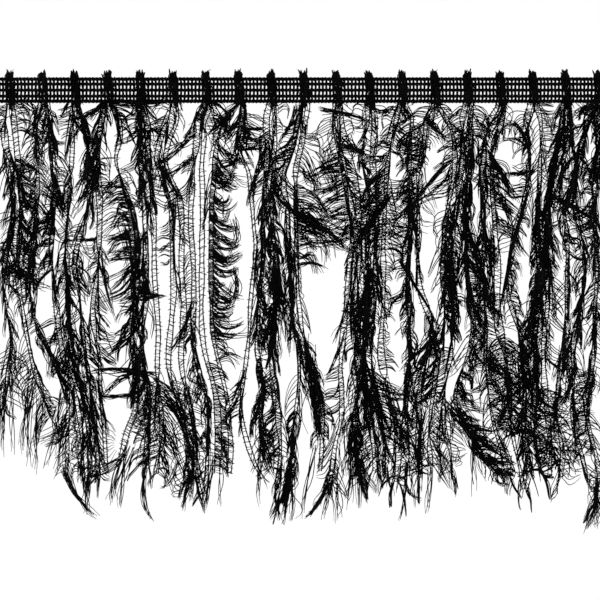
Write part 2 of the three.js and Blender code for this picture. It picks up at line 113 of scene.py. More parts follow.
# How each strand hangs, as (x, z) points from its top to its cut end: a left and a right strand
# for each yarn, from the left end of the trim to the right.
STRAND_ROUTES = [
    (
        [(-0.1155, -0.0065), (-0.1165, -0.014), (-0.116, -0.022), (-0.1137, -0.03),
         (-0.1132, -0.045), (-0.115, -0.06), (-0.117, -0.075), (-0.115, -0.088), (-0.1136, -0.098),
         (-0.115, -0.11), (-0.1168, -0.122)],
        [(-0.1131, -0.0065), (-0.1124, -0.015), (-0.1109, -0.03), (-0.1099, -0.045),
         (-0.1108, -0.06), (-0.1114, -0.072), (-0.1095, -0.085), (-0.1078, -0.096),
         (-0.1056, -0.106), (-0.1024, -0.117), (-0.0985, -0.127)],
    ),
    (
        [(-0.1028, -0.0065), (-0.1045, -0.014), (-0.1036, -0.025), (-0.1038, -0.038),
         (-0.1045, -0.05), (-0.1055, -0.062), (-0.1066, -0.075), (-0.1049, -0.088),
         (-0.101, -0.098), (-0.0966, -0.1075), (-0.093, -0.1145), (-0.091, -0.124),
         (-0.092, -0.136), (-0.0923, -0.15)],
        [(-0.1004, -0.0065), (-0.0986, -0.016), (-0.0982, -0.028), (-0.097, -0.04),
         (-0.0975, -0.052), (-0.0983, -0.064), (-0.0968, -0.077), (-0.096, -0.088), (-0.0944, -0.1),
         (-0.0929, -0.107), (-0.0901, -0.1145), (-0.0879, -0.124), (-0.0866, -0.136),
         (-0.0862, -0.15)],
    ),
    (
        [(-0.0901, -0.0065), (-0.0899, -0.015), (-0.0906, -0.03), (-0.0914, -0.042),
         (-0.0922, -0.054), (-0.093, -0.066), (-0.0922, -0.078), (-0.0913, -0.09),
         (-0.0907, -0.101), (-0.0896, -0.107), (-0.087, -0.1145), (-0.085, -0.124),
         (-0.0836, -0.136), (-0.0832, -0.15)],
        [(-0.0877, -0.0065), (-0.0862, -0.013), (-0.084, -0.022), (-0.0832, -0.034),
         (-0.0842, -0.046), (-0.0876, -0.058), (-0.0894, -0.068), (-0.0878, -0.077),
         (-0.0866, -0.088), (-0.0856, -0.098), (-0.0844, -0.11), (-0.0822, -0.122),
         (-0.0807, -0.136), (-0.08, -0.15)],
    ),
    (
        [(-0.0774, -0.0065), (-0.0795, -0.016), (-0.0803, -0.03), (-0.0796, -0.045),
         (-0.0799, -0.06), (-0.0806, -0.072), (-0.0822, -0.084), (-0.0814, -0.094),
         (-0.0796, -0.104), (-0.079, -0.12), (-0.0779, -0.13), (-0.0773, -0.14), (-0.077, -0.148)],
        [(-0.075, -0.0065), (-0.072, -0.012), (-0.0716, -0.019), (-0.0732, -0.027),
         (-0.0713, -0.034), (-0.0688, -0.041), (-0.0664, -0.048), (-0.0651, -0.058),
         (-0.0648, -0.068), (-0.0654, -0.08), (-0.0668, -0.092), (-0.0666, -0.104),
         (-0.0652, -0.113), (-0.0657, -0.124), (-0.069, -0.133), (-0.071, -0.142)],
    ),
    (
        [(-0.0647, -0.0065), (-0.0635, -0.015), (-0.0639, -0.025), (-0.0632, -0.035),
         (-0.0624, -0.045), (-0.0618, -0.058), (-0.0614, -0.068), (-0.0612, -0.08),
         (-0.0626, -0.092), (-0.0622, -0.104), (-0.0608, -0.113), (-0.06, -0.123),
         (-0.0612, -0.133), (-0.0612, -0.146)],
        [(-0.0623, -0.0065), (-0.0608, -0.015), (-0.0608, -0.025), (-0.0598, -0.036),
         (-0.0589, -0.047), (-0.0584, -0.058), (-0.0583, -0.07), (-0.0576, -0.082),
         (-0.0568, -0.094), (-0.0572, -0.105), (-0.057, -0.115), (-0.0556, -0.125),
         (-0.056, -0.137), (-0.0572, -0.149)],
    ),
    (
        [(-0.052, -0.0065), (-0.0529, -0.011), (-0.0556, -0.018), (-0.0573, -0.026),
         (-0.0557, -0.033), (-0.0528, -0.042), (-0.0516, -0.054), (-0.0514, -0.066),
         (-0.0508, -0.078), (-0.0517, -0.09), (-0.0528, -0.104), (-0.0518, -0.113),
         (-0.049, -0.121), (-0.047, -0.129), (-0.0456, -0.139), (-0.0458, -0.148),
         (-0.0468, -0.156)],
        [(-0.0496, -0.0065), (-0.0495, -0.012), (-0.0523, -0.019), (-0.054, -0.027),
         (-0.0518, -0.0345), (-0.0484, -0.0425), (-0.0476, -0.056), (-0.0478, -0.07),
         (-0.0469, -0.083), (-0.0476, -0.095), (-0.0479, -0.106), (-0.0462, -0.116),
         (-0.0439, -0.126), (-0.0426, -0.138), (-0.043, -0.15)],
    ),
    (
        [(-0.0393, -0.0065), (-0.0415, -0.012), (-0.0419, -0.02), (-0.043, -0.03),
         (-0.0436, -0.038), (-0.0442, -0.046), (-0.0442, -0.054), (-0.0434, -0.064),
         (-0.043, -0.075), (-0.0432, -0.088), (-0.0432, -0.098), (-0.0417, -0.106),
         (-0.0397, -0.113), (-0.0378, -0.121), (-0.0374, -0.131), (-0.0377, -0.142),
         (-0.0385, -0.156)],
        [(-0.0369, -0.0065), (-0.0388, -0.013), (-0.0392, -0.021), (-0.0399, -0.03),
         (-0.0396, -0.038), (-0.0396, -0.048), (-0.0398, -0.06), (-0.0399, -0.072),
         (-0.0401, -0.084), (-0.04, -0.092), (-0.0391, -0.1), (-0.0375, -0.107), (-0.0358, -0.113),
         (-0.0342, -0.121), (-0.0336, -0.131), (-0.0336, -0.141), (-0.034, -0.149)],
    ),
    (
        [(-0.0266, -0.0065), (-0.0303, -0.01), (-0.0327, -0.015), (-0.0342, -0.022),
         (-0.0351, -0.03), (-0.0355, -0.037), (-0.0361, -0.044), (-0.0363, -0.055),
         (-0.0364, -0.07), (-0.0362, -0.084), (-0.0357, -0.094), (-0.034, -0.103), (-0.032, -0.111),
         (-0.0302, -0.119), (-0.0293, -0.129), (-0.0286, -0.139), (-0.0292, -0.149)],
        [(-0.0242, -0.0065), (-0.0243, -0.012), (-0.0258, -0.019), (-0.0245, -0.026),
         (-0.0218, -0.032), (-0.0206, -0.042), (-0.0198, -0.052), (-0.019, -0.062),
         (-0.0201, -0.073), (-0.0211, -0.084), (-0.0216, -0.095), (-0.0227, -0.105),
         (-0.0241, -0.115), (-0.0247, -0.126), (-0.0228, -0.135), (-0.0198, -0.144),
         (-0.0162, -0.151)],
    ),
    (
        [(-0.0139, -0.0065), (-0.0149, -0.012), (-0.0145, -0.022), (-0.0149, -0.032),
         (-0.0157, -0.042), (-0.0163, -0.052), (-0.0159, -0.062), (-0.0166, -0.072),
         (-0.0176, -0.082), (-0.0181, -0.092), (-0.0184, -0.1), (-0.0172, -0.108),
         (-0.0158, -0.115), (-0.0169, -0.124), (-0.0174, -0.131), (-0.0152, -0.139),
         (-0.0129, -0.147)],
        [(-0.0115, -0.0065), (-0.0111, -0.013), (-0.0117, -0.022), (-0.0121, -0.032),
         (-0.0128, -0.042), (-0.0124, -0.054), (-0.011, -0.066), (-0.011, -0.078),
         (-0.0116, -0.088), (-0.0128, -0.098), (-0.013, -0.106), (-0.0116, -0.113),
         (-0.0106, -0.121), (-0.0101, -0.13), (-0.0094, -0.138), (-0.0098, -0.147),
         (-0.0106, -0.155)],
    ),
    (
        [(-0.0012, -0.0065), (-0.0028, -0.013), (-0.0044, -0.022), (-0.0074, -0.03),
         (-0.0082, -0.037), (-0.0068, -0.045), (-0.0063, -0.056), (-0.0059, -0.068),
         (-0.0055, -0.08), (-0.0045, -0.09), (-0.0028, -0.098), (-0.0021, -0.106),
         (-0.0023, -0.114), (-0.0031, -0.122), (-0.0045, -0.131), (-0.0053, -0.141),
         (-0.0067, -0.152), (-0.0073, -0.158)],
        [(0.0012, -0.0065), (0.0, -0.014), (-0.0014, -0.022), (-0.0034, -0.031), (-0.0035, -0.041),
         (-0.0033, -0.052), (-0.0031, -0.066), (-0.0025, -0.08), (-0.0013, -0.091),
         (0.0006, -0.099), (0.0026, -0.107), (0.005, -0.114), (0.0069, -0.121), (0.0066, -0.129),
         (0.0067, -0.138), (0.006, -0.148)],
    ),
    (
        [(0.0115, -0.0065), (0.0114, -0.013), (0.0126, -0.022), (0.0146, -0.03), (0.0166, -0.041),
         (0.0178, -0.052), (0.0178, -0.063), (0.0169, -0.074), (0.0159, -0.086), (0.0147, -0.097),
         (0.0139, -0.108), (0.0144, -0.118), (0.0141, -0.128), (0.012, -0.137), (0.0104, -0.147),
         (0.0088, -0.157)],
        [(0.0139, -0.0065), (0.0145, -0.013), (0.016, -0.022), (0.0178, -0.03), (0.0197, -0.04),
         (0.0209, -0.05), (0.0212, -0.062), (0.0207, -0.074), (0.0201, -0.086), (0.0197, -0.098),
         (0.0193, -0.11), (0.02, -0.118), (0.0196, -0.128), (0.02, -0.14), (0.022, -0.15)],
    ),
    (
        [(0.0242, -0.0065), (0.0245, -0.013), (0.0229, -0.02), (0.0223, -0.026), (0.0236, -0.033),
         (0.0252, -0.041), (0.0246, -0.05), (0.0243, -0.06), (0.0247, -0.07), (0.0244, -0.082),
         (0.0233, -0.094), (0.023, -0.106), (0.0236, -0.116), (0.025, -0.127), (0.0266, -0.138),
         (0.0274, -0.148)],
        [(0.0266, -0.0065), (0.0273, -0.013), (0.0265, -0.021), (0.0265, -0.03), (0.028, -0.04),
         (0.0276, -0.05), (0.0271, -0.06), (0.0275, -0.071), (0.0273, -0.083), (0.0262, -0.095),
         (0.0261, -0.106), (0.0274, -0.116), (0.0294, -0.127), (0.031, -0.138), (0.0314, -0.149)],
    ),
    (
        [(0.0369, -0.0065), (0.0349, -0.014), (0.0334, -0.022), (0.0321, -0.031), (0.0315, -0.04),
         (0.031, -0.05), (0.0305, -0.062), (0.0307, -0.074), (0.0304, -0.086), (0.0296, -0.096),
         (0.0298, -0.104), (0.0314, -0.113), (0.0336, -0.121), (0.0356, -0.131), (0.0364, -0.142),
         (0.0356, -0.152)],
        [(0.0393, -0.0065), (0.0416, -0.011), (0.0411, -0.018), (0.0405, -0.028), (0.0406, -0.04),
         (0.0412, -0.052), (0.0402, -0.064), (0.04, -0.076), (0.0408, -0.088), (0.0407, -0.1),
         (0.0402, -0.11), (0.0397, -0.12), (0.04, -0.13), (0.0405, -0.141), (0.04, -0.15)],
    ),
    (
        [(0.0496, -0.0065), (0.0473, -0.011), (0.0466, -0.018), (0.0453, -0.026), (0.044, -0.033),
         (0.044, -0.044), (0.0441, -0.056), (0.0439, -0.068), (0.0447, -0.077), (0.0476, -0.0855),
         (0.0494, -0.0915), (0.0486, -0.099), (0.046, -0.107), (0.0445, -0.117), (0.0442, -0.128),
         (0.0446, -0.14), (0.0452, -0.15)],
        [(0.052, -0.0065), (0.0548, -0.011), (0.057, -0.016), (0.0582, -0.024), (0.0578, -0.033),
         (0.0558, -0.044), (0.0542, -0.054), (0.0536, -0.064), (0.0538, -0.076), (0.0543, -0.087),
         (0.0534, -0.097), (0.0516, -0.106), (0.0503, -0.116), (0.0488, -0.126), (0.0483, -0.136),
         (0.049, -0.146)],
    ),
    (
        [(0.0623, -0.0065), (0.0613, -0.012), (0.0615, -0.02), (0.0611, -0.03), (0.0595, -0.041),
         (0.058, -0.053), (0.0573, -0.065), (0.0573, -0.077), (0.0577, -0.088), (0.0569, -0.1),
         (0.0554, -0.11), (0.054, -0.12), (0.0542, -0.131), (0.0564, -0.14), (0.0572, -0.15)],
        [(0.0647, -0.0065), (0.0642, -0.014), (0.0644, -0.024), (0.0639, -0.035), (0.0626, -0.046),
         (0.0622, -0.058), (0.0629, -0.07), (0.064, -0.08), (0.0656, -0.09), (0.0645, -0.099),
         (0.0618, -0.107), (0.0592, -0.114), (0.0586, -0.121), (0.0614, -0.13), (0.066, -0.1365),
         (0.0698, -0.143), (0.0742, -0.148)],
    ),
    (
        [(0.075, -0.0065), (0.0719, -0.012), (0.0701, -0.02), (0.0694, -0.028), (0.0692, -0.038),
         (0.07, -0.048), (0.0697, -0.06), (0.0696, -0.072), (0.0698, -0.084), (0.0704, -0.094),
         (0.07, -0.104), (0.0708, -0.114), (0.0722, -0.124), (0.0742, -0.133), (0.0772, -0.142),
         (0.0786, -0.15)],
        [(0.0774, -0.0065), (0.0763, -0.013), (0.0737, -0.02), (0.0726, -0.029), (0.0726, -0.038),
         (0.0734, -0.049), (0.074, -0.058), (0.0748, -0.069), (0.0746, -0.08), (0.0753, -0.091),
         (0.0772, -0.1), (0.0789, -0.108), (0.0798, -0.118), (0.0799, -0.128), (0.0816, -0.138),
         (0.0836, -0.147), (0.0848, -0.155)],
    ),
    (
        [(0.0877, -0.0065), (0.0866, -0.013), (0.0874, -0.021), (0.0869, -0.032), (0.0853, -0.042),
         (0.0823, -0.052), (0.0799, -0.062), (0.0786, -0.071), (0.0793, -0.081), (0.0822, -0.091),
         (0.084, -0.101), (0.085, -0.111), (0.0854, -0.121), (0.0849, -0.131), (0.0864, -0.141),
         (0.0882, -0.15)],
        [(0.0901, -0.0065), (0.0916, -0.013), (0.0914, -0.024), (0.0909, -0.036), (0.0904, -0.048),
         (0.0902, -0.06), (0.0908, -0.072), (0.0908, -0.084), (0.0896, -0.095), (0.0893, -0.106),
         (0.0892, -0.117), (0.0889, -0.128), (0.0899, -0.138), (0.0916, -0.149)],
    ),
    (
        [(0.1004, -0.0065), (0.0997, -0.013), (0.0989, -0.02), (0.0964, -0.028), (0.095, -0.038),
         (0.0944, -0.05), (0.094, -0.062), (0.0943, -0.074), (0.0941, -0.085), (0.0929, -0.095),
         (0.0926, -0.106), (0.0932, -0.117), (0.0942, -0.128), (0.0954, -0.139), (0.095, -0.15)],
        [(0.1028, -0.0065), (0.1026, -0.014), (0.1019, -0.022), (0.0996, -0.031), (0.0995, -0.042),
         (0.1012, -0.052), (0.102, -0.064), (0.1018, -0.076), (0.1016, -0.086), (0.1003, -0.096),
         (0.0996, -0.106), (0.0983, -0.116), (0.0978, -0.125), (0.099, -0.133), (0.1002, -0.142),
         (0.0992, -0.151)],
    ),
    (
        [(0.1131, -0.0065), (0.1096, -0.014), (0.107, -0.024), (0.1052, -0.034), (0.1051, -0.046),
         (0.1073, -0.056), (0.1089, -0.066), (0.1082, -0.077), (0.1066, -0.086), (0.1046, -0.096),
         (0.104, -0.106), (0.1043, -0.115), (0.1035, -0.123), (0.1048, -0.132), (0.1072, -0.141),
         (0.1095, -0.151)],
        [(0.1155, -0.0065), (0.1152, -0.016), (0.1136, -0.028), (0.1122, -0.04), (0.1127, -0.054),
         (0.1134, -0.066), (0.113, -0.078), (0.1123, -0.09), (0.1124, -0.102), (0.1108, -0.112),
         (0.109, -0.121), (0.1105, -0.131), (0.1132, -0.142), (0.1148, -0.153), (0.113, -0.162)],
    ),
]

# Where the lashes stand along each strand: shape, side (left, right or both), top, bottom, length
# and the gap from one lash to the next. A rung's length is the ladder's mean width there.
LASH_RUNS = {
    "01_left": [
        ("arc", "L", -.006, -.018, .007, .0005), ("rung", "B", -.014, -.024, .0022, .0009),
        ("fall", "B", -.022, -.062, .011, .00028), ("fan", "R", -.066, -.076, .011, .0004),
        ("fall", "B", -.060, -.108, .010, .0007), ("slant", "B", -.100, -.122, .012, .0008),
    ],
    "01_right": [
        ("rung", "B", -.010, -.030, .0021, .0009), ("arc", "R", -.005, -.016, .008, .0006),
        ("slant", "R", -.026, -.062, .0105, .00035), ("fan", "B", -.052, -.072, .009, .0005),
        ("slant", "L", -.100, -.127, .014, .0008), ("slant", "R", -.108, -.127, .004, .0010),
    ],
    "02_left": [
        ("fall", "B", -.005, -.014, .008, .0004), ("slant", "B", -.012, -.040, .009, .0004),
        ("fall", "B", -.040, -.074, .011, .0003), ("fan", "L", -.062, -.092, .009, .0008),
        ("hang", "B", -.090, -.112, .008, .0004), ("slant", "L", -.118, -.134, .015, .0007),
        ("fan", "B", -.126, -.148, .007, .0012),
    ],
    "02_right": [
        ("fall", "B", -.005, -.024, .009, .00028), ("fall", "B", -.022, -.052, .010, .0003),
        ("comb", "R", -.030, -.047, .0065, .0008), ("fan", "L", -.044, -.070, .009, .0003),
        ("rung", "B", -.080, -.095, .0018, .0009), ("fan", "L", -.088, -.106, .009, .0005),
        ("fall", "B", -.106, -.120, .009, .0007), ("fan", "L", -.122, -.148, .007, .0010),
    ],
    "03_left": [
        ("comb", "L", -.006, -.018, .0065, .0005), ("rung", "B", -.018, -.032, .0018, .0009),
        ("fall", "B", -.030, -.060, .009, .0005), ("fall", "B", -.060, -.100, .011, .00024),
        ("hang", "B", -.096, -.138, .009, .0003), ("fall", "B", -.138, -.150, .007, .0012),
    ],
    "03_right": [
        ("fall", "B", -.004, -.034, .010, .00022), ("fall", "B", -.022, -.044, .010, .0004),
        ("fall", "B", -.047, -.062, .009, .0006), ("fall", "B", -.062, -.104, .010, .0004),
        ("hang", "B", -.100, -.136, .009, .0004), ("slant", "B", -.138, -.152, .007, .0011),
    ],
    "04_left": [
        ("fall", "B", -.004, -.032, .010, .00024), ("rung", "B", -.030, -.062, .0024, .0009),
        ("comb", "R", -.026, -.040, .006, .0009), ("slant", "R", -.060, -.104, .010, .0007),
        ("slant", "L", -.056, -.074, .006, .0009), ("rung", "B", -.100, -.148, .0013, .0012),
    ],
    "04_right": [
        ("rung", "B", -.014, -.030, .0016, .0012), ("fan", "R", -.004, -.012, .009, .0004),
        ("comb", "L", -.032, -.066, .0135, .00028), ("fall", "B", -.032, -.064, .006, .0006),
        ("slant", "L", -.064, -.096, .012, .0006), ("fall", "B", -.066, -.118, .010, .00024),
        ("comb", "R", -.119, -.132, .0065, .0010), ("rung", "B", -.116, -.142, .0020, .0009),
    ],
    "05_left": [
        ("fan", "L", -.006, -.018, .008, .0005), ("fall", "B", -.005, -.042, .008, .0002),
        ("fall", "L", -.054, -.104, .009, .0005), ("fall", "L", -.100, -.120, .011, .0003),
        ("fan", "L", -.116, -.144, .008, .0008),
    ],
    "05_right": [
        ("fall", "B", -.005, -.044, .007, .0003), ("comb", "R", -.030, -.044, .0085, .0010),
        ("rung", "B", -.048, -.108, .0016, .0011), ("slant", "B", -.112, -.142, .011, .0004),
        ("fan", "B", -.124, -.147, .007, .0011),
    ],
    "06_left": [
        ("arc", "B", -.004, -.018, .009, .0004), ("rung", "B", -.014, -.028, .0018, .0010),
        ("fall", "B", -.028, -.036, .006, .0008), ("comb", "L", -.050, -.066, .007, .0007),
        ("rung", "B", -.056, -.108, .0018, .0010), ("slant", "R", -.112, -.146, .009, .0007),
        ("fall", "R", -.130, -.154, .008, .0010),
    ],
    "06_right": [
        ("rung", "B", -.006, -.034, .0016, .0011), ("fan", "L", -.038, -.050, .006, .0008),
        ("rung", "B", -.034, -.112, .0020, .0009), ("fall", "B", -.114, -.140, .009, .0007),
        ("fan", "B", -.138, -.150, .006, .0012),
    ],
    "07_left": [
        ("fall", "B", -.004, -.012, .007, .0002), ("rung", "B", -.010, -.024, .0026, .0009),
        ("slant", "L", -.022, -.040, .007, .0009), ("arc", "L", -.045, -.096, .007, .0012),
        ("rung", "B", -.036, -.100, .0017, .0010), ("fall", "L", -.088, -.138, .010, .00034),
        ("fan", "B", -.136, -.148, .007, .0010),
    ],
    "07_right": [
        ("arc", "R", -.005, -.016, .010, .0007), ("rung", "B", -.016, -.112, .0017, .0013),
        ("fan", "R", -.106, -.146, .007, .0005), ("rung", "B", -.112, -.149, .0020, .0010),
    ],
    "08_left": [
        ("fall", "B", -.004, -.014, .009, .0003), ("swoop", "R", -.018, -.034, .012, .0008),
        ("bowl", "R", -.026, -.064, .011, .0003), ("bowl", "R", -.062, -.096, .011, .00034),
        ("fan", "R", -.056, -.100, .006, .0007), ("rung", "B", -.046, -.149, .0015, .0013),
        ("arc", "R", -.094, -.106, .009, .0012),
    ],
    "08_right": [
        ("fall", "B", -.004, -.022, .008, .00025), ("comb", "R", -.008, -.024, .009, .0006),
        ("swoop", "L", -.014, -.024, .006, .0009), ("rung", "B", -.026, -.112, .0013, .0012),
        ("slant", "L", -.112, -.126, .008, .0010), ("rung", "B", -.126, -.151, .0014, .0012),
    ],
    "09_left": [
        ("rung", "B", -.006, -.018, .0024, .0009), ("fall", "B", -.016, -.050, .009, .0003),
        ("hang", "B", -.046, -.098, .009, .0004), ("rung", "B", -.098, -.108, .0020, .0012),
        ("hang", "B", -.104, -.138, .010, .00022), ("fan", "B", -.134, -.147, .007, .0012),
    ],
    "09_right": [
        ("arc", "R", -.006, -.018, .007, .0010), ("fall", "B", -.030, -.056, .008, .0003),
        ("hang", "B", -.052, -.104, .011, .00018), ("fall", "L", -.070, -.094, .009, .0004),
        ("slant", "L", -.108, -.142, .009, .0005),
    ],
    "10_left": [
        ("fall", "B", -.004, -.014, .007, .0004), ("slant", "L", -.010, -.030, .009, .0004),
        ("fall", "B", -.034, -.060, .009, .0006), ("hang", "B", -.058, -.096, .010, .0003),
        ("fall", "R", -.092, -.112, .006, .0010), ("hang", "B", -.124, -.158, .009, .0002),
    ],
    "10_right": [
        ("fan", "R", -.016, -.032, .013, .0007), ("fan", "R", -.036, -.056, .016, .0004),
        ("comb", "R", -.042, -.058, .015, .0006), ("fan", "R", -.052, -.066, .013, .0004),
        ("rung", "B", -.008, -.034, .0020, .0010),
        ("fall", "B", -.096, -.134, .008, .00035), ("rung", "B", -.116, -.146, .0016, .0011),
    ],
    "11_left": [
        ("fan", "L", -.010, -.026, .008, .0009), ("comb", "L", -.024, -.058, .012, .0003),
        ("slant", "R", -.016, -.062, .008, .0006), ("rung", "B", -.064, -.086, .0020, .0010),
        ("bowl", "L", -.106, -.124, .010, .0007), ("rung", "B", -.086, -.126, .0018, .0010),
        ("fall", "B", -.142, -.157, .007, .0006),
    ],
    "11_right": [
        ("fan", "B", -.005, -.018, .006, .0008), ("rung", "B", -.018, -.052, .0034, .0009),
        ("comb", "R", -.040, -.058, .005, .0012), ("slant", "B", -.058, -.100, .008, .0006),
        ("fall", "B", -.100, -.124, .006, .0008), ("hang", "B", -.124, -.150, .011, .0002),
    ],
    "12_left": [
        ("fan", "B", -.005, -.016, .008, .0005), ("fall", "B", -.014, -.030, .008, .0005),
        ("fall", "B", -.050, -.080, .010, .0007), ("hang", "B", -.066, -.116, .012, .0002),
        ("fall", "B", -.108, -.132, .011, .0003), ("slant", "L", -.128, -.144, .008, .0008),
    ],
    "12_right": [
        ("rung", "B", -.007, -.034, .0022, .0010), ("fall", "B", -.046, -.080, .009, .0004),
        ("fall", "B", -.074, -.098, .009, .0004), ("slant", "R", -.108, -.132, .013, .0005),
        ("fall", "B", -.110, -.136, .011, .0003), ("fall", "B", -.130, -.148, .008, .0005),
    ],
    "13_left": [
        ("fan", "B", -.005, -.024, .008, .0004), ("slant", "L", -.020, -.044, .013, .0004),
        ("comb", "B", -.034, -.058, .012, .00035), ("fan", "B", -.049, -.062, .009, .0006),
        ("rung", "B", -.064, -.112, .0022, .0010), ("fan", "R", -.066, -.108, .005, .0010),
        ("fall", "B", -.116, -.138, .010, .0006), ("fan", "B", -.138, -.150, .006, .0014),
    ],
    "13_right": [
        ("rung", "B", -.005, -.012, .0020, .0010), ("fan", "R", -.012, -.030, .008, .0014),
        ("fan", "L", -.012, -.030, .006, .0005), ("slant", "L", -.034, -.048, .010, .0005),
        ("comb", "L", -.050, -.064, .006, .0009), ("slant", "L", -.064, -.088, .009, .0006),
        ("hang", "B", -.036, -.112, .010, .00028), ("fall", "B", -.114, -.136, .009, .0006),
        ("fan", "B", -.134, -.148, .006, .0013),
    ],
    "14_left": [
        ("fan", "B", -.005, -.028, .008, .0004), ("slant", "L", -.020, -.048, .009, .0005),
        ("fall", "B", -.052, -.070, .008, .0007), ("rung", "B", -.070, -.086, .0020, .0009),
        ("fall", "B", -.086, -.108, .009, .0003),
        ("fall", "B", -.104, -.136, .008, .0004), ("fan", "B", -.134, -.148, .006, .0012),
    ],
    "14_right": [
        ("fan", "B", -.005, -.022, .007, .0005), ("slant", "L", -.024, -.042, .012, .0007),
        ("fall", "R", -.044, -.094, .010, .00025), ("slant", "L", -.096, -.120, .009, .0004),
        ("slant", "R", -.116, -.134, .009, .0007), ("fan", "B", -.130, -.146, .007, .0010),
    ],
    "15_left": [
        ("rung", "B", -.005, -.013, .0030, .0009), ("fan", "L", -.006, -.022, .007, .0006),
        ("fall", "B", -.014, -.052, .008, .0004), ("fall", "B", -.050, -.096, .009, .00028),
        ("fan", "L", -.100, -.120, .007, .0006),
        ("fan", "B", -.124, -.146, .008, .0009),
    ],
    "15_right": [
        ("arc", "R", -.005, -.018, .009, .0006), ("fall", "B", -.008, -.036, .009, .0004),
        ("hang", "B", -.034, -.080, .011, .0002), ("slant", "R", -.054, -.106, .009, .0005),
        ("slant", "R", -.108, -.148, .010, .0003), ("hang", "B", -.128, -.148, .009, .0004),
    ],
    "16_left": [
        ("rung", "B", -.005, -.013, .0034, .0009), ("fall", "B", -.010, -.022, .007, .0006),
        ("fall", "B", -.022, -.042, .008, .0003), ("slant", "R", -.026, -.042, .010, .0006),
        ("fall", "B", -.042, -.084, .009, .0003), ("fan", "B", -.076, -.116, .009, .0003),
        ("slant", "R", -.104, -.132, .010, .0006), ("fan", "B", -.134, -.148, .006, .0013),
    ],
    "16_right": [
        ("fall", "B", -.004, -.018, .007, .0003), ("rung", "B", -.016, -.058, .0017, .0009),
        ("slant", "R", -.026, -.056, .011, .0004), ("rung", "B", -.062, -.096, .0024, .0009),
        ("fan", "B", -.096, -.134, .010, .00022), ("rung", "B", -.134, -.150, .0012, .0016),
    ],
    "17_left": [
        ("rung", "B", -.005, -.012, .0030, .0009), ("arc", "L", -.008, -.024, .009, .0008),
        ("fall", "B", -.008, -.022, .007, .0006), ("comb", "L", -.028, -.042, .008, .0006),
        ("slant", "R", -.048, -.070, .008, .0006), ("fall", "R", -.064, -.100, .009, .0005),
        ("hang", "B", -.096, -.116, .010, .0003), ("fall", "B", -.100, -.146, .009, .0003),
        ("fan", "B", -.136, -.148, .006, .0012),
    ],
    "17_right": [
        ("comb", "R", -.004, -.026, .007, .0006), ("fall", "B", -.024, -.044, .007, .0006),
        ("slant", "R", -.046, -.066, .010, .0004),
        ("hang", "B", -.040, -.116, .010, .00024), ("slant", "L", -.070, -.096, .008, .0004),
        ("fall", "B", -.100, -.114, .009, .0005), ("fan", "R", -.114, -.146, .009, .0004),
    ],
    "18_left": [
        ("fall", "B", -.004, -.028, .009, .00022), ("hang", "B", -.022, -.074, .010, .0002),
        ("slant", "B", -.072, -.104, .008, .0005), ("fan", "B", -.116, -.146, .008, .0004),
        ("rung", "B", -.104, -.116, .0022, .0009), ("rung", "B", -.138, -.150, .0012, .0016),
    ],
    "18_right": [
        ("fall", "B", -.004, -.034, .010, .00025), ("comb", "R", -.032, -.044, .007, .0009),
        ("fall", "B", -.044, -.056, .008, .0006), ("fall", "R", -.056, -.120, .008, .0005),
        ("fan", "B", -.118, -.140, .008, .0008), ("fan", "R", -.136, -.150, .006, .0014),
    ],
    "19_left": [
        ("fall", "B", -.003, -.036, .011, .00018), ("fall", "B", -.034, -.084, .010, .0004),
        ("fall", "B", -.080, -.094, .009, .0003), ("fall", "B", -.094, -.110, .009, .0004),
        ("fan", "B", -.108, -.138, .008, .0007), ("fan", "B", -.136, -.150, .006, .0014),
    ],
    "19_right": [
        ("fall", "B", -.003, -.036, .011, .00018), ("comb", "L", -.030, -.054, .009, .0004),
        ("fall", "B", -.040, -.094, .010, .0003), ("fall", "B", -.084, -.122, .009, .0005),
        ("fan", "L", -.108, -.140, .009, .0006), ("fall", "B", -.148, -.160, .007, .0010),
    ],
}

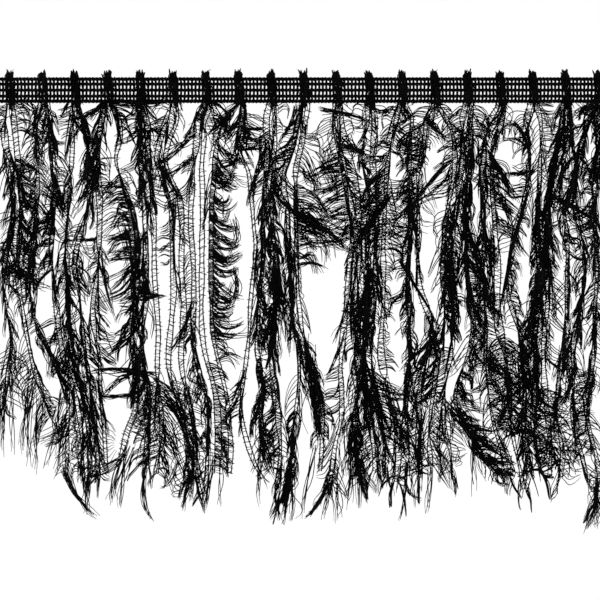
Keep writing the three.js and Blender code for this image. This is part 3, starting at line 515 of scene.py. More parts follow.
# Tufts of lashes that have caught together and stray from their strand: two or three (x, z) places
# from root to tip, then how many lashes there are and how loosely they lie.
TUFTS = {
    "01_left": [
        ((-.1168, -.118), (-.1175, -.130), (-.117, -.144), 3, .0010),
        ((-.1150, -.112), (-.1140, -.128), (-.113, -.143), 3, .0010),
        ((-.1175, -.070), (-.109, -.0735), (-.101, -.0725), 7, .0013),
        ((-.1160, -.110), (-.1165, -.124), (-.1170, -.137), 9, .0014),
    ],
    "01_right": [
        ((-.104, -.112), (-.1062, -.130), (-.1068, -.147), 6, .0012),
        ((-.106, -.108), (-.1086, -.126), (-.109, -.142), 6, .0012),
        ((-.1015, -.118), (-.1042, -.134), (-.105, -.1485), 6, .0011),
        ((-.1110, -.004), (-.1060, -.0075), (-.1020, -.0120), 12, .0010),
        ((-.111, -.072), (-.104, -.0755), (-.0975, -.0780), 5, .0012),
    ],
    "02_left": [
        ((-.0925, -.118), (-.0965, -.130), (-.1005, -.146), 7, .0014),
        ((-.0915, -.126), (-.0950, -.138), (-.0975, -.150), 6, .0012),
        ((-.0935, -.146), (-.090, -.157), (-.0805, -.166), 12, .0006),
        ((-.1035, -.020), (-.105, -.025), (-.1035, -.029), 12, .0009),
    ],
    "02_right": [
        ((-.0985, -.011), (-.0988, -.0215), (-.092, -.0205), 12, .0005),
    ],
    "03_left": [
        ((-.0912, -.004), (-.093, -.007), (-.095, -.011), 9, .0005),
        ((-.0905, -.010), (-.086, -.0145), (-.0835, -.0225), 14, .0008),
    ],
    "03_right": [
        ((-.0805, -.058), (-.084, -.0585), (-.0885, -.058), 12, .0005),
        ((-.083, -.146), (-.085, -.156), (-.0845, -.164), 9, .0009),
    ],
    "04_left": [
        ((-.077, -.0045), (-.081, -.008), (-.0865, -.0125), 12, .0009),
        ((-.0765, -.0055), (-.083, -.0105), (-.0915, -.0115), 12, .0009),
        ((-.080, -.112), (-.079, -.123), (-.076, -.134), 10, .0006),
        ((-.079, -.062), (-.078, -.075), (-.0735, -.088), 10, .0009),
    ],
    "04_right": [
        ((-.0745, -.0050), (-.071, -.0115), (-.0735, -.024), 12, .0006),
        ((-.0700, -.0520), (-.0665, -.0700), (-.0660, -.0900), 14, .0012),
        ((-.0735, -.0045), (-.063, -.0065), (-.052, -.0050), 10, .0006),
        ((-.066, -.1185), (-.073, -.1190), (-.080, -.1185), 14, .0005),
        ((-.066, -.1100), (-.073, -.1125), (-.0785, -.1190), 10, .0008),
        ((-.0665, -.114), (-.0665, -.119), (-.067, -.1235), 8, .0004),
        ((-.0695, -.138), (-.0735, -.150), (-.0755, -.161), 9, .0011),
        ((-.0675, -.138), (-.0715, -.150), (-.0715, -.162), 7, .0010),
        ((-.069, -.140), (-.077, -.1475), (-.083, -.1455), 5, .0005),
        ((-.069, -.141), (-.078, -.1515), (-.084, -.148), 4, .0005),
        ((-.065, -.077), (-.0585, -.080), (-.0540, -.0800), 16, .0006),
    ],
    "05_left": [
        ((-.063, -.065), (-.069, -.073), (-.077, -.079), 10, .0008),
        ((-.064, -.090), (-.070, -.099), (-.078, -.104), 8, .0008),
        ((-.0610, -.124), (-.0600, -.134), (-.0610, -.146), 12, .0014),
        ((-.062, -.110), (-.072, -.1075), (-.084, -.1095), 16, .0010),
        ((-.0610, -.143), (-.0645, -.159), (-.059, -.167), 10, .0005),
        ((-.0600, -.113), (-.0480, -.119), (-.0420, -.138), 12, .0014),
    ],
    "05_right": [
        ((-.057, -.0795), (-.062, -.082), (-.068, -.081), 9, .0006),
        ((-.057, -.111), (-.063, -.108), (-.068, -.111), 7, .0009),
        ((-.057, -.118), (-.047, -.124), (-.0415, -.150), 12, .0014),
        ((-.057, -.128), (-.050, -.138), (-.0435, -.160), 7, .0014),
        ((-.058, -.132), (-.055, -.144), (-.0500, -.158), 5, .0012),
    ],
    "06_left": [
        ((-.0570, -.025), (-.054, -.037), (-.046, -.0435), 14, .0008),
        ((-.0505, -.040), (-.0512, -.054), (-.0500, -.075), 7, .0005),
        ((-.050, -.068), (-.0485, -.078), (-.047, -.086), 5, .0007),
    ],
    "06_right": [
        ((-.0485, -.144), (-.0515, -.152), (-.0565, -.1555), 4, .0006),
        ((-.0440, -.146), (-.0455, -.156), (-.0475, -.164), 7, .0009),
        ((-.0435, -.138), (-.0425, -.150), (-.0440, -.160), 7, .0009),
    ],
    "07_left": [
        ((-.043, -.018), (-.0505, -.025), (-.0590, -.0295), 14, .0010),
        ((-.0435, -.026), (-.049, -.031), (-.055, -.034), 10, .0008),
        ((-.043, -.082), (-.046, -.093), (-.053, -.102), 14, .0010),
    ],
    "07_right": [
        ((-.0345, -.132), (-.0300, -.1405), (-.0295, -.149), 9, .0007),
        ((-.0350, -.142), (-.0375, -.155), (-.0395, -.1635), 7, .0009),
        ((-.0335, -.142), (-.0325, -.155), (-.0325, -.163), 3, .0006),
        ((-.0375, -.005), (-.0325, -.0045), (-.0300, -.010), 10, .0005),
    ],
    "08_left": [
        ((-.0340, -.020), (-.028, -.028), (-.0195, -.0285), 10, .0008),
        ((-.0275, -.050), (-.0240, -.058), (-.030, -.064), 9, .0008),
        ((-.0275, -.070), (-.0235, -.078), (-.030, -.084), 9, .0008),
        ((-.0355, -.078), (-.0275, -.086), (-.0265, -.074), 9, .0006),
        ((-.0340, -.104), (-.0300, -.101), (-.0235, -.1045), 5, .0007),
    ],
    "08_right": [
        ((-.0250, -.0145), (-.020, -.0155), (-.015, -.0145), 12, .0006),
        ((-.0245, -.019), (-.020, -.0202), (-.015, -.0195), 8, .0006),
        ((-.0230, -.108), (-.0265, -.117), (-.029, -.1225), 6, .0006),
        ((-.0245, -.118), (-.0280, -.125), (-.034, -.131), 9, .0008),
        ((-.0185, -.146), (-.0165, -.150), (-.012, -.1535), 2, .0002),
    ],
    "09_left": [
        ((-.0162, -.026), (-.0195, -.036), (-.0225, -.046), 10, .0008),
        ((-.018, -.062), (-.0205, -.074), (-.0145, -.088), 14, .0010),
        ((-.0168, -.018), (-.0175, -.024), (-.0165, -.030), 7, .0004),
        ((-.0160, -.138), (-.0182, -.150), (-.0175, -.161), 6, .0010),
    ],
    "09_right": [
        ((-.0115, -.040), (-.0040, -.0500), (.0080, -.0550), 18, .0009),
        ((-.0105, -.070), (-.0080, -.084), (-.0060, -.102), 16, .0012),
        ((-.0095, -.142), (-.0115, -.152), (-.0120, -.159), 5, .0008),
    ],
    "10_left": [
        ((-.003, -.006), (-.005, -.013), (-.008, -.0185), 10, .0006),
        ((-.0060, -.066), (-.0045, -.082), (-.0060, -.100), 12, .0010),
        ((-.005, -.146), (-.0065, -.156), (-.0095, -.167), 14, .0012),
        ((-.005, -.148), (-.0040, -.158), (-.0055, -.168), 8, .0011),
    ],
    "10_right": [
        ((.0000, -.098), (.0025, -.114), (.0052, -.136), 26, .0011),
        ((.0030, -.104), (.0045, -.124), (.0078, -.142), 9, .0008),
        ((-.003, -.068), (.002, -.0660), (.009, -.0695), 9, .0005),
        ((.0060, -.026), (.0100, -.0330), (.0140, -.0430), 16, .0014),
        ((.005, -.138), (.0005, -.152), (-.001, -.166), 5, .0010),
        ((-.002, -.048), (.009, -.0540), (.0180, -.0630), 18, .0008),
    ],
    "11_left": [
        ((.0160, -.018), (.0190, -.0240), (.0260, -.0260), 14, .0012),
        ((.0065, -.0080), (.0155, -.0085), (.026, -.0125), 14, .0006),
        ((.0165, -.079), (.0148, -.090), (.0110, -.0985), 8, .0006),
        ((.0148, -.095), (.0120, -.105), (.0085, -.112), 8, .0006),
        ((.011, -.150), (.0055, -.162), (.000, -.166), 12, .0006),
        ((.0115, -.148), (.0085, -.158), (.0065, -.1665), 6, .0009),
        ((.0115, -.148), (.0135, -.158), (.013, -.167), 6, .0010),
    ],
    "11_right": [
        ((.0200, -.126), (.0180, -.138), (.0165, -.151), 16, .0014),
        ((.0195, -.140), (.0185, -.150), (.0165, -.160), 12, .0014),
        ((.0195, -.140), (.0215, -.150), (.0225, -.160), 8, .0010),
        ((.0200, -.062), (.0180, -.078), (.0190, -.100), 14, .0012),
    ],
    "12_left": [
        ((.0335, -.0405), (.0240, -.0540), (.0175, -.0640), 20, .0008),
        ((.0250, -.006), (.0300, -.0105), (.0345, -.0060), 10, .0007),
        ((.0245, -.072), (.0205, -.086), (.0215, -.104), 12, .0012),
    ],
    "12_right": [
        ((.0285, -.140), (.0285, -.148), (.0275, -.154), 5, .0009),
        ((.0290, -.112), (.0345, -.124), (.0370, -.138), 8, .0012),
    ],
    "13_left": [
        ((.0355, -.0065), (.0440, -.0105), (.034, -.014), 14, .0008),
        ((.0335, -.014), (.0380, -.0180), (.046, -.019), 6, .0008),
        ((.036, -.0205), (.0385, -.0215), (.0415, -.0195), 7, .0005),
        ((.037, -.066), (.0440, -.078), (.052, -.091), 12, .0004),
    ],
    "13_right": [
        ((.0395, -.145), (.0375, -.158), (.046, -.1585), 8, .0005),
        ((.0400, -.145), (.0395, -.158), (.036, -.168), 4, .0005),
        ((.0520, -.093), (.0450, -.101), (.0380, -.108), 16, .0008),
        ((.0400, -.112), (.0440, -.126), (.0450, -.138), 6, .0010),
    ],
    "14_left": [
        ((.0450, -.036), (.0420, -.0440), (.0400, -.0640), 14, .0012),
        ((.0465, -.0105), (.0505, -.0150), (.0565, -.0205), 14, .0008),
        ((.0450, -.125), (.0435, -.142), (.0450, -.158), 5, .0012),
    ],
    "14_right": [
        ((.0575, -.0265), (.0500, -.0335), (.043, -.0440), 10, .0007),
        ((.0560, -.060), (.0575, -.076), (.0560, -.094), 16, .0010),
        ((.0490, -.136), (.0525, -.1415), (.0565, -.1455), 7, .0008),
        ((.0485, -.142), (.0490, -.154), (.0475, -.164), 6, .0008),
    ],
    "15_left": [
        ((.0535, -.124), (.0520, -.136), (.0525, -.145), 5, .0007),
        ((.0555, -.122), (.0572, -.131), (.057, -.138), 6, .0007),
        ((.0560, -.142), (.0580, -.150), (.058, -.158), 5, .0010),
        ((.0600, -.040), (.0640, -.052), (.0660, -.068), 16, .0012),
    ],
    "15_right": [
        ((.0560, -.122), (.0640, -.1320), (.0760, -.1410), 20, .0014),
        ((.0600, -.128), (.0700, -.1400), (.0830, -.1455), 6, .0009),
        ((.0640, -.058), (.0680, -.0680), (.0700, -.0820), 14, .0012),
        ((.0640, -.130), (.0655, -.144), (.0655, -.157), 6, .0012),
        ((.0700, -.088), (.0690, -.100), (.0640, -.112), 8, .0010),
    ],
    "16_left": [
        ((.0700, -.022), (.0770, -.0335), (.0830, -.0440), 14, .0008),
        ((.0700, -.052), (.0730, -.0660), (.0730, -.0880), 18, .0014),
        ((.0705, -.104), (.0760, -.108), (.0840, -.118), 16, .0012),
    ],
    "16_right": [
        ((.0790, -.104), (.0785, -.118), (.076, -.130), 14, .0012),
        ((.0800, -.142), (.0790, -.149), (.0800, -.155), 3, .0008),
        ((.0740, -.036), (.0800, -.0480), (.0820, -.060), 10, .0009),
    ],
    "17_left": [
        ((.0875, -.026), (.0830, -.0085), (.0755, -.0165), 9, .0006),
        ((.0865, -.0225), (.0815, -.0170), (.0755, -.0205), 7, .0006),
        ((.0872, -.032), (.0830, -.0330), (.0780, -.0325), 12, .0005),
        ((.0870, -.037), (.0815, -.0560), (.0745, -.0920), 14, .0006),
        ((.0855, -.138), (.0845, -.150), (.084, -.158), 5, .0010),
    ],
    "17_right": [
        ((.0900, -.1470), (.0930, -.1500), (.0985, -.1435), 6, .0005),
        ((.0900, -.076), (.0865, -.090), (.0870, -.110), 18, .0014),
        ((.0880, -.106), (.0820, -.1130), (.0770, -.1240), 16, .0014),
    ],
    "18_left": [
        ((.0950, -.040), (.0945, -.0560), (.0940, -.074), 16, .0012),
        ((.0960, -.041), (.1050, -.0460), (.1130, -.0510), 16, .0007),
    ],
    "18_right": [
        ((.0980, -.122), (.0960, -.130), (.0945, -.139), 8, .0012),
        ((.0990, -.100), (.0985, -.1075), (.0955, -.1135), 6, .0008),
        ((.1010, -.062), (.1070, -.0680), (.1130, -.0640), 8, .0005),
    ],
    "19_left": [
        ((.1045, -.108), (.1030, -.1175), (.0975, -.1235), 12, .0008),
        ((.1038, -.118), (.1048, -.128), (.108, -.1345), 8, .0006),
    ],
    "19_right": [
        ((.1130, -.150), (.1130, -.162), (.109, -.1705), 12, .0010),
        ((.1130, -.152), (.1140, -.163), (.113, -.1705), 12, .0010),
        ((.1080, -.0045), (.1120, -.0080), (.1190, -.0120), 18, .0014),
        ((.1130, -.0045), (.1080, -.0080), (.1030, -.0110), 14, .0012),
        ((.1130, -.016), (.1160, -.0220), (.1120, -.0320), 18, .0016),
        ((.1120, -.108), (.1120, -.1150), (.1090, -.1225), 12, .0012),
    ],
}


DYE_PATCHES = 90
DYE_DETAIL = 3
DYE_DEEP_AT = 0.35
DYE_FADED_AT = 0.7
GRAIN_DETAIL = 2
SMOOTHER = 0.08
ROUGHER = 0.12
GRAIN_RELIEF = 0.5
GRAIN_DEPTH = 0.00008


def dyed_fibre(name, deep, faded, roughness, gloss, grain):
    """Makes a black dyed fibre: uneven dye over a fine twisted grain, with a dull shine."""
    material = bpy.data.materials.new(name)
    material.use_nodes = True
    nodes = material.node_tree.nodes
    link = material.node_tree.links.new
    shader = nodes["Principled BSDF"]
    shader.inputs["Specular IOR Level"].default_value = gloss
    place = nodes.new("ShaderNodeTexCoord")
    dye = nodes.new("ShaderNodeTexNoise")
    dye.inputs["Scale"].default_value = DYE_PATCHES
    dye.inputs["Detail"].default_value = DYE_DETAIL
    link(place.outputs["Object"], dye.inputs["Vector"])
    shades = nodes.new("ShaderNodeValToRGB")
    shades.color_ramp.elements[0].position = DYE_DEEP_AT
    shades.color_ramp.elements[0].color = (*deep, 1)
    shades.color_ramp.elements[1].position = DYE_FADED_AT
    shades.color_ramp.elements[1].color = (*faded, 1)
    link(dye.outputs["Fac"], shades.inputs["Fac"])
    link(shades.outputs["Color"], shader.inputs["Base Color"])
    twist = nodes.new("ShaderNodeTexNoise")
    twist.inputs["Scale"].default_value = grain
    twist.inputs["Detail"].default_value = GRAIN_DETAIL
    link(place.outputs["Object"], twist.inputs["Vector"])
    wear = nodes.new("ShaderNodeMapRange")
    wear.inputs["To Min"].default_value = roughness - SMOOTHER
    wear.inputs["To Max"].default_value = roughness + ROUGHER
    link(twist.outputs["Fac"], wear.inputs["Value"])
    link(wear.outputs["Result"], shader.inputs["Roughness"])
    relief = nodes.new("ShaderNodeBump")
    relief.inputs["Strength"].default_value = GRAIN_RELIEF
    relief.inputs["Distance"].default_value = GRAIN_DEPTH
    link(twist.outputs["Fac"], relief.inputs["Height"])
    link(relief.outputs["Normal"], shader.inputs["Normal"])
    return material


def yarn_piece(name, lines, material, sides):
    """Makes one mesh piece of many yarns. A line is its points with a radius for each point."""
    curve = bpy.data.curves.new(name, "CURVE")
    curve.dimensions = "3D"
    curve.bevel_depth = 1
    curve.bevel_resolution = sides
    curve.use_fill_caps = True
    for points, radii in lines:
        spline = curve.splines.new("POLY")
        spline.points.add(len(points) - 1)
        spline.points.foreach_set("co", [value for point in points for value in (*point, 1)])
        spline.points.foreach_set("radius", radii)
    wire = bpy.data.objects.new(name, curve)
    scene.collection.objects.link(wire)
    depsgraph = bpy.context.evaluated_depsgraph_get()
    mesh = bpy.data.meshes.new_from_object(wire.evaluated_get(depsgraph))
    bpy.data.objects.remove(wire)
    bpy.data.curves.remove(curve)
    mesh.name = name
    mesh.materials.clear()
    mesh.materials.append(material)
    mesh.shade_smooth()
    piece = bpy.data.objects.new(name, mesh)
    scene.collection.objects.link(piece)
    return piece


CURVE_STEPS = 32
CURVE_PULL = 6


def hanging_line(route, lean):
    """Gives the points of a strand's middle line, smooth through its route and swaying in depth."""
    top, end = route[0][1], route[-1][1]
    knots = [Vector((route[0][0], YARN_PLANE_Y, LOOP_FOOT_Z))]
    for x, z in route:
        sway = math.sin(2 * math.pi * (z - top) / (end - top))
        knots.append(Vector((x, YARN_PLANE_Y + lean * DEPTH_SWAY * sway, z)))
    knots = [2 * knots[0] - knots[1]] + knots + [2 * knots[-1] - knots[-2]]
    line = []
    for before, start, stop, after in zip(knots, knots[1:], knots[2:], knots[3:]):
        pull = (stop - before) / CURVE_PULL
        push = (after - start) / CURVE_PULL
        line += interpolate_bezier(start, start + pull, stop - push, stop, CURVE_STEPS + 1)[:-1]
    return line + [knots[-2]]


def even_stations(line):
    """Gives evenly spaced points along a line."""
    stations = [line[0]]
    spare = 0
    for start, stop in zip(line, line[1:]):
        step = (stop - start).length
        while spare + step >= STATION:
            share = (STATION - spare) / step
            start = start.lerp(stop, share)
            step = (stop - start).length
            spare = 0
            stations.append(start)
        spare += step
    return stations


# The ways a lash leaves its thread: the angle above the level at its root and at its tip, how much
# both vary, how far it may turn out of the plane of the trim, all in degrees, and how strongly
# neighbours cling to each other at their tips.
LASH_SHAPES = {
    "rung": (0, -4, 6, 12, 0),
    "comb": (-4, -24, 7, 25, 0.3),
    "fan": (-8, -58, 10, 45, 0.6),
    "arc": (10, -88, 10, 35, 0.6),
    "slant": (-32, -52, 9, 35, 0.65),
    "fall": (-46, -86, 14, 125, 0.72),
    "hang": (-64, -92, 10, 150, 0.65),
    "swoop": (-62, 5, 12, 35, 0.65),
    "bowl": (-62, 40, 14, 35, 0.55),
}
ARC_STEPS = 6
LASH_REACH = 30
LOCK_SIZES = (1, 2, 3, 4, 5, 6, 8, 11)
RUNG_RADIUS = 0.00013
LASH_RADIUS = 0.00019
TIP_RADIUS = 0.00009
OUT_OF_PLANE = 0.85
CLING_GROWTH = 1.6
LOCK_WAVE = 23
LOCK_LENGTHS = (0.45, 1.7, 1)
RUNG_SKEW = (-5, 3)
TIP_VARIES = 1.5
ROOT_SCATTER = 7
TIP_SCATTER = 11
TURN_SCATTER = 0.1
RUNG_STUB = (0.0003, 0.0011)
LASH_LENGTHS = (0.75, 1.1)
FIRST_PLACE = (0, 3)
GAP_RANGE = (0.6, 1.4)


COAT_TOP = -0.0048
COAT_LENGTH = 0.010
COAT_GAP = 0.0011
SHORTEST_COAT = COAT_GAP * 4


def lash_radii(count, heft=1.0):
    """Gives a lash's radius at each point: fine along the rung, then fuller, narrowing to the tip."""
    radii = [RUNG_RADIUS, RUNG_RADIUS]
    for step in range(count - 2):
        radii.append(LASH_RADIUS + (TIP_RADIUS - LASH_RADIUS) * (step / (count - 3)) ** 2)
    return [heft * radius for radius in radii]


def bent_lash(far, near, side, angles, length, turn, wave, tilt):
    """Gives the points of one lash: the rung from thread to thread, then a wavy arc to its tip."""
    start, stop = angles
    out = Vector((side * math.cos(turn), -OUT_OF_PLANE * math.sin(turn), 0))
    points = [far, near]
    for step in range(ARC_STEPS):
        share = (step + 0.5) / ARC_STEPS
        angle = math.radians(start + (stop - start) * share + wave * math.sin(2 * math.pi * share))
        reach = out * math.cos(angle) + Vector((0, 0, math.sin(angle)))
        points.append(points[-1] + tilt @ reach * length / ARC_STEPS)
    return points


def cling(lock, strength):
    """Draws the lashes of one lock together towards the tip of its middle one."""
    leader = [point.copy() for point in lock[len(lock) // 2]]
    for lash in lock:
        for step in range(2, len(lash)):
            share = strength * ((step - 1) / (len(lash) - 2)) ** CLING_GROWTH
            lash[step] = lash[step].lerp(leader[step], share)


def lash_lock(shape, side, threads, places, length, chance):
    """Gives one lock of neighbouring lashes that bend alike, from their places along the threads."""
    start, stop, spread, turn, strength = LASH_SHAPES[shape]
    start += chance.gauss(0, spread)
    stop += chance.gauss(0, TIP_VARIES * spread)
    turn = math.radians(chance.uniform(-turn, turn))
    reach = length * chance.triangular(*LOCK_LENGTHS)
    wave = chance.gauss(0, LOCK_WAVE)
    skew = chance.randint(*RUNG_SKEW)
    ahead = min(places[0] + LASH_REACH, len(threads[side]) - 1)
    along = threads[side][ahead] - threads[side][max(0, ahead - LASH_REACH)]
    tilt = Matrix.Rotation(-math.atan2(along.x, -along.z), 3, "Y")
    lock = []
    for place in places:
        angles = (start + chance.gauss(0, ROOT_SCATTER), stop + chance.gauss(0, TIP_SCATTER))
        if shape == "rung":
            reach = chance.uniform(*RUNG_STUB)
        far = threads[-side][max(0, min(place + skew, len(threads[side]) - 1))]
        own_reach = reach * chance.uniform(*LASH_LENGTHS)
        own_turn = turn + chance.gauss(0, TURN_SCATTER)
        lock.append(bent_lash(far, threads[side][place], side, angles, own_reach, own_turn, wave, tilt))
    cling(lock, strength)
    return lock


def lash_run(run, threads, stations, chance):
    """Gives the lashes of one run down a strand, lock by lock."""
    shape, sides, top, bottom, length, gap = run
    inside = [index for index, station in enumerate(stations) if bottom <= station.z <= top]
    hands = {"L": (-1,), "R": (1,), "B": (-1, 1)}[sides]
    lashes = []
    for side in hands:
        place = inside[0] + chance.uniform(*FIRST_PLACE)
        while place < inside[-1]:
            places = []
            for _ in range(chance.choice(LOCK_SIZES)):
                places.append(min(int(place), inside[-1]))
                place += len(hands) * gap * chance.uniform(*GAP_RANGE) / STATION
            lashes += lash_lock(shape, side, threads, places, length, chance)
    return [(lash, lash_radii(len(lash))) for lash in lashes]


def coat_runs(runs, stations):
    """Gives the thin coat of lashes that every strand has wherever it is not a bare ladder."""
    top = COAT_TOP
    coats = []
    for run in sorted((run for run in runs if run[0] == "rung"), key=lambda run: -run[2]):
        if run[2] < top - SHORTEST_COAT:
            coats.append(("fall", "B", top, run[2], COAT_LENGTH, COAT_GAP))
        top = min(top, run[3])
    end = stations[-1].z
    if end < top - SHORTEST_COAT:
        coats.append(("fall", "B", top, end, COAT_LENGTH, COAT_GAP))
    return coats


TUFT_FORWARD = 0.001
TUFT_BULGE = Vector((0, -0.0008, -0.0006))
TUFT_STEPS = 8
MIDDLE_SCATTER = 0.8
END_SCATTER = 0.4
END_LENGTHS = (-0.4, 0.05)
CURL_SIZE = 0.9
CURL_TURN = 5


def lash_tuft(tuft, chance):
    """Gives the lashes of a stray tuft: a bundle that runs from the strand to one point."""
    places, count, width = tuft[:-2], tuft[-2], tuft[-1]
    knots = [Vector((x, YARN_PLANE_Y - TUFT_FORWARD, z)) for x, z in places]
    root, tip = knots[0], knots[-1]
    middle = knots[1] if len(knots) > 2 else (root + tip) / 2 + TUFT_BULGE
    lashes = []
    for _ in range(count):
        scatter = [Vector([chance.gauss(0, width) for axis in range(3)]) for knot in range(3)]
        start = root + scatter[0]
        bend = middle + MIDDLE_SCATTER * scatter[1]
        stop = tip + END_SCATTER * scatter[2] + (tip - middle) * chance.uniform(*END_LENGTHS)
        curl = Vector([chance.gauss(0, CURL_SIZE * width) for axis in range(3)])
        phase = chance.uniform(0, 2 * math.pi)
        points = []
        for step in range(TUFT_STEPS + 1):
            share = step / TUFT_STEPS
            middle_way = start.lerp(bend, share).lerp(bend.lerp(stop, share), share)
            points.append(middle_way + curl * math.sin(CURL_TURN * share + phase))
        lashes.append((points, lash_radii(len(points))))
    return lashes


HALF_WIDTH = 0.0008
WIDTH_VARIES = 0.0006
WIDTH_WANDER = 90
LADDER_VARIES = 0.7
LADDER_TWIST = 0.3
MOST_TWIST = 3.4
TWIST_WANDER = 45
SMOOTHING = 8
THREAD_STEP = 3
THREAD_KNOBS = 0.22
KNOB_TURN = 2.1


def strand_threads(stations, lean, runs, yarn_index):
    """Gives a strand's two threads, which part and twist as they go, and twist less at a ladder."""
    last = len(stations) - 1
    halves = []
    twists = []
    for station in stations:
        wander = noise.noise(Vector((station.z * WIDTH_WANDER, yarn_index * 3.7, lean * 2.1)))
        half = HALF_WIDTH + WIDTH_VARIES * wander
        twist = MOST_TWIST * noise.noise(Vector((station.z * TWIST_WANDER, yarn_index * 5.3, 7.7 + lean)))
        for shape, sides, top, bottom, length, gap in runs:
            if shape == "rung" and bottom <= station.z <= top:
                half = length / 2 * (1 + LADDER_VARIES * wander)
                twist = LADDER_TWIST * twist
        halves.append(half)
        twists.append(twist)
    threads = {-1: [], 1: []}
    for index, station in enumerate(stations):
        near = slice(max(index - SMOOTHING, 0), index + SMOOTHING + 1)
        half = sum(halves[near]) / len(halves[near])
        twist = sum(twists[near]) / len(twists[near])
        along = stations[min(index + 2, last)] - stations[max(index - 2, 0)]
        across = Vector((-along.z, 0, along.x)).normalized()
        spread = across * math.cos(twist) + Vector((0, -1, 0)) * math.sin(twist)
        for side in threads:
            threads[side].append(station + side * half * spread)
    return threads


def hanging_strand(name, route, lean, runs, tufts, yarn_index):
    """Makes one strand: its two threads and its lashes, which start just below the heading, and hides its
    part.
    """
    chance = random.Random(name)
    line = hanging_line(route, lean)
    stations = even_stations(line)
    threads = strand_threads(stations, lean, runs, yarn_index)
    lines = []
    for side in threads:
        picked = threads[side][::THREAD_STEP] + [threads[side][-1]]
        radii = []
        for step in range(len(picked)):
            radii.append(THREAD_RADIUS * (1 + THREAD_KNOBS * math.sin(KNOB_TURN * step)))
        lines.append((picked, radii))
    core = yarn_piece(name + "_threads", lines, thread_finish, 1)
    hairs = []
    for run in runs + coat_runs(runs, stations):
        hairs += lash_run(run, threads, stations, chance)
    for tuft in tufts:
        hairs += lash_tuft(tuft, chance)
    lashes = yarn_piece(name + "_lashes", hairs, lash_finish, 0)
    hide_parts(name)
    for piece in (core, lashes):
        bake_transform(piece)


def yarn_x(yarn_index):
    """Gives where along the tape a yarn is laid in."""
    return (yarn_index - (YARN_COUNT - 1) / 2) * YARN_PITCH


THREAD_BLACK = ((0.0007, 0.0007, 0.0008), (0.003, 0.003, 0.0034))
LASH_BLACK = ((0.0005, 0.0005, 0.0006), (0.0035, 0.0033, 0.004))
thread_finish = dyed_fibre("lash_yarn_core", *THREAD_BLACK, 0.62, 0.04, 3000)
lash_finish = dyed_fibre("lash_hair", *LASH_BLACK, 0.5, 0.04, 5000)

for yarn_index, (left_route, right_route) in enumerate(STRAND_ROUTES):
    for side, route, lean in (("left", left_route, 1), ("right", right_route, -1)):
        strand = f"{yarn_index + 1:02d}_{side}"
        runs = LASH_RUNS.get(strand, [])
        tufts = TUFTS.get(strand, [])
        hanging_strand("strand_" + strand, route, lean, runs, tufts, yarn_index)


# ---- Heading chains
# The tape is crochet-knit in spun polyester. Five chains of stitches run along it, the outer two a
# little stouter, and each chain is one yarn looped through itself, which looks like a flat plait.

TRIM_LENGTH = YARN_COUNT * YARN_PITCH
CHAIN_HEIGHTS = (0.0043, 0.00235, 0, -0.00235, -0.0043)
CHAIN_Y = -0.0005
CHAIN_HALF_WIDTH = 0.00036
CHAIN_HALF_DEPTH = 0.00016
CHAIN_YARN_RADIUS = 0.00034
STITCHES = 171
STEPS_PER_STITCH = 5
EDGE_CHAINS = (0, len(CHAIN_HEIGHTS) - 1)
EDGE_SWELL = 1.25
EDGE_KNOBS = 0.35
INNER_KNOBS = 0.1

heading_finish = dyed_fibre("heading_yarn", *THREAD_BLACK, 0.6, 0.04, 2500)


def plaited_line(height, part, swell):
    """Gives the points of one of the three runs of yarn that make up a chain."""
    points = []
    steps = STITCHES * STEPS_PER_STITCH
    for step in range(steps + 1):
        turn = 2 * math.pi * (step / STEPS_PER_STITCH / 2 + part / 3)
        along = TRIM_LENGTH * (step / steps - 0.5)
        depth = CHAIN_Y + CHAIN_HALF_DEPTH * math.sin(2 * turn)
        points.append(Vector((along, depth, height + swell * CHAIN_HALF_WIDTH * math.sin(turn))))
    return points


for number, height in enumerate(CHAIN_HEIGHTS):
    swell = EDGE_SWELL if number in EDGE_CHAINS else 1
    runs = [plaited_line(height, part, swell) for part in range(3)]
    knobs = EDGE_KNOBS if number in EDGE_CHAINS else INNER_KNOBS
    radii = []
    for step in range(len(runs[0])):
        radii.append(CHAIN_YARN_RADIUS * (1 + knobs * math.sin(2 * math.pi * step / STEPS_PER_STITCH)))
    chain = yarn_piece(f"heading_chain_{number + 1}", [(run, radii) for run in runs], heading_finish, 1)
    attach(chain, "heading")
    if number == EDGE_CHAINS[0]:
        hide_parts("heading_top_chain")
    if number == EDGE_CHAINS[1]:
        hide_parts("heading_bottom_chain")


# ---- Filling threads
# Two finer threads zigzag across all five chains, one stitch at a time, and are caught by each
# chain as they cross it. They leave the open square mesh that shows between the chains.

FILLING_RADIUS = 0.0003
FILLING_OFFSET = 0.00019
TURN_HEIGHT = 0.0046
FILLING_HEIGHTS = (-TURN_HEIGHT, -0.0034, -0.00235, -0.0012, 0, 0.0012, 0.00235, 0.0034, TURN_HEIGHT)
FILLING_SWAY = 0.00008
FILLING_BEHIND = 0.0001


def filling_line(offset, first_up):
    """Gives the points of one filling thread, up across one stitch and down across the next."""
    points = []
    for stitch in range(STITCHES):
        x = TRIM_LENGTH * ((stitch + 0.5) / STITCHES - 0.5) + offset
        upward = (stitch % 2 == 0) == first_up
        for z in FILLING_HEIGHTS if upward else reversed(FILLING_HEIGHTS):
            lean = FILLING_SWAY * math.sin(z * 900 + stitch)
            points.append(Vector((x + lean, CHAIN_Y + FILLING_BEHIND, z)))
    return points


filling = yarn_piece("heading_filling", [
    (line, [FILLING_RADIUS] * len(line))
    for line in (filling_line(-FILLING_OFFSET, True), filling_line(FILLING_OFFSET, False))
], heading_finish, 1)
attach(filling, "heading")
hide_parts("heading_net")


# ---- Yarn loops
# Each lash yarn turns round a little above the tape, and its two legs cross the front of it, bedded
# in the chains. Its lashes are crushed flat across the tape and stand up raggedly at the turn.

